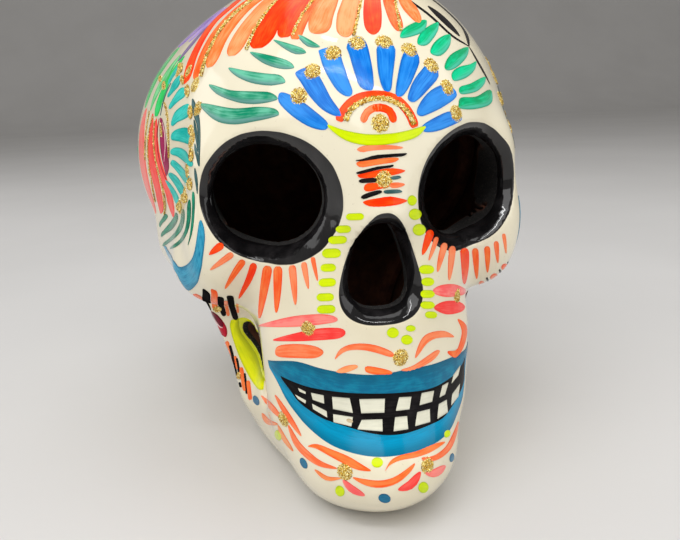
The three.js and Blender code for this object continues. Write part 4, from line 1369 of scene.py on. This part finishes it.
def dab_mound(middle, out, side_way, up_way):
    """Points, faces and normals of a low mound of glue with a wavy border, closed under the glaze."""
    n = DAB_SPOKES
    points, normals = [middle + out * DAB_H], [out]
    for i in range(1, DAB_RINGS + 1):
        share_out = i / DAB_RINGS
        for j in range(n):
            a = 2 * math.pi * (j + .5 * (i % 2)) / n
            wave = 1 + .07 * math.sin(3 * a + middle[0]) + .05 * math.sin(5 * a + middle[2])
            way = side_way * math.cos(a) + up_way * math.sin(a)
            points.append(middle + way * DAB_R * share_out * wave)
            normals.append(unit(out + way * share_out * .6))
    points = np.array(points, np.float32)
    points[1:] = settle(skin, points[1:])
    for i in range(1, DAB_RINGS + 1):
        rise = DAB_H * (1 - (i / DAB_RINGS) ** DAB_POWER) - .06 * (i == DAB_RINGS)
        points[1 + (i - 1) * n:1 + i * n] += (out * rise).astype(np.float32)
    foot, last = len(points), 1 + (DAB_RINGS - 1) * n
    points = np.vstack([points, middle - out * .3])
    faces = [(0, 1 + j, 1 + (j + 1) % n) for j in range(n)]
    for start in range(1, last, n):
        for j in range(n):
            a, b = start + j, start + (j + 1) % n
            faces += [(a, a + n, b + n), (a, b + n, b)]
    faces += [(foot, last + (j + 1) % n, last + j) for j in range(n)]
    return points, faces, normals + [-out]


def gold_dab(name):
    """One dab: a mound with grains all over it, in place of its plain solid."""
    low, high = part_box(name)
    middle = (np.array(low) + np.array(high)) / 2 / MM
    middle = settle(skin, middle.astype(np.float32)[None], 4)[0]
    out = unit(gradient(skin, middle[None], .4))[0]
    side_way = unit(np.cross(out, (.1, .2, 1.0)))
    up_way = np.cross(out, side_way)
    points, faces, normals = dab_mound(middle, out, side_way, up_way)
    obj = make_mesh(name + "_glue", points, faces, paints["gold", False], normals)
    keep_values(obj, "place", np.tile((.5, .5, 0), (len(points), 1)))
    keep_values(obj, "run", points)
    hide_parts(name)
    r = DAB_R * 1.04 * np.sqrt(rng.random(DAB_GRAINS))
    a = rng.uniform(0, 2 * math.pi, DAB_GRAINS)
    spots = middle + side_way * (r * np.cos(a))[:, None] + up_way * (r * np.sin(a))[:, None]
    spots = settle(skin, spots.astype(np.float32))
    rise = DAB_H * np.clip(1 - (r / DAB_R) ** DAB_POWER, 0, 1)
    spots = spots + out * (rise + rng.uniform(0, .06, DAB_GRAINS))[:, None]
    granules(name + "_grains", spots, unit(out + (spots - middle) * .2), (.10, .19))


paint_forehead()
paint_crown()
paint_eyes_and_nose()
paint_cheeks()
paint_jaw()
paint_mouth()
paint_temple()
paint_hidden_sides()
lay_strokes()
paints = {}
glitter = glitter_look()
groups = {}
for s, one in zip(STROKES, settle_films(STROKES)):
    groups.setdefault((s["motif"], s["colour"]), []).append((s, one))
for (motif, colour), members in groups.items():
    gold = colour == "gold"
    dull = motif.startswith(("temple", "cheek_bars", "jaw", "crown_side")) and not gold
    if (colour, dull) not in paints:
        paints[colour, dull] = paint_look(colour, dull)
    films = [film(s, *one) for s, one in members]
    film_object(motif + "_" + colour, films, paints[colour, dull])
    if gold:
        granules(motif + "_grains", *scatter([one for _, one in members], LINE_GRAINS_PER_MM2))
for name in sorted(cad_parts):
    if name.startswith("gold_dab"):
        gold_dab(name)


# Floor and light, in metres
FLOOR_FRONT, FLOOR_BACK, FLOOR_HALF, WALL_TOP, BEND_R, BEND_STEPS = -2.4, 2.2, 3.5, 3.5, .8, 16


def floor_look():
    k = Look("floor")
    p = k.coords()
    tone = k.span(k.noise(p, 6, 3.0), .3, .7)
    k.set(Base_Color=k.mix(tone, (.62, .61, .60), (.65, .64, .63)), Roughness=.6)
    k.bump(k.noise(p, 300, 3.0), .1, .0004)
    return k.mat


def floor():
    """A pale floor that bends up into a wall behind."""
    line = [(FLOOR_FRONT, 0.0), (FLOOR_BACK, 0.0)]
    for i in range(1, BEND_STEPS + 1):
        a = math.pi / 2 * i / BEND_STEPS
        line.append((FLOOR_BACK + BEND_R * math.sin(a), BEND_R - BEND_R * math.cos(a)))
    line.append((FLOOR_BACK + BEND_R, WALL_TOP))
    points = [(x, y, z) for y, z in line for x in (-FLOOR_HALF, FLOOR_HALF)]
    faces = [(2 * i, 2 * i + 1, 2 * i + 3, 2 * i + 2) for i in range(len(line) - 1)]
    mesh = bpy.data.meshes.new("floor")
    mesh.from_pydata(points, [], faces)
    mesh.polygons.foreach_set("use_smooth", [True] * len(faces))
    mesh.materials.append(floor_look())
    linked("floor", mesh)


def lamp(name, place, aim, size, watts):
    data = bpy.data.lights.new(name, "AREA")
    data.shape = "RECTANGLE"
    data.size, data.size_y = size
    data.energy = watts
    obj = linked(name, data)
    obj.location = place
    obj.rotation_euler = (Vector(aim) - Vector(place)).to_track_quat("-Z", "Y").to_euler()


floor()
world = bpy.data.worlds.new("world")
world.use_nodes = True
backdrop = world.node_tree.nodes["Background"]
backdrop.inputs["Color"].default_value = (1, .98, .95, 1)
backdrop.inputs["Strength"].default_value = .32
bpy.context.scene.world = world
MIDDLE, BROW = (0, 0, .06), (0, -.05, .1)
lamp("key", (-.45, -.6, .8), MIDDLE, (1.1, .8), 6.6)
lamp("fill", (.8, -.5, .4), MIDDLE, (.8, .8), 2.6)
lamp("top", (.05, .1, 1.0), MIDDLE, (.9, .7), 3.4)
lamp("left", (-.85, .45, .3), MIDDLE, (.5, .5), 1.0)
lamp("strip", (-.13, -.49, .74), BROW, (.8, .022), 1.5)
lamp("spot", (-.13, -.21, .88), BROW, (.12, .03), .22)
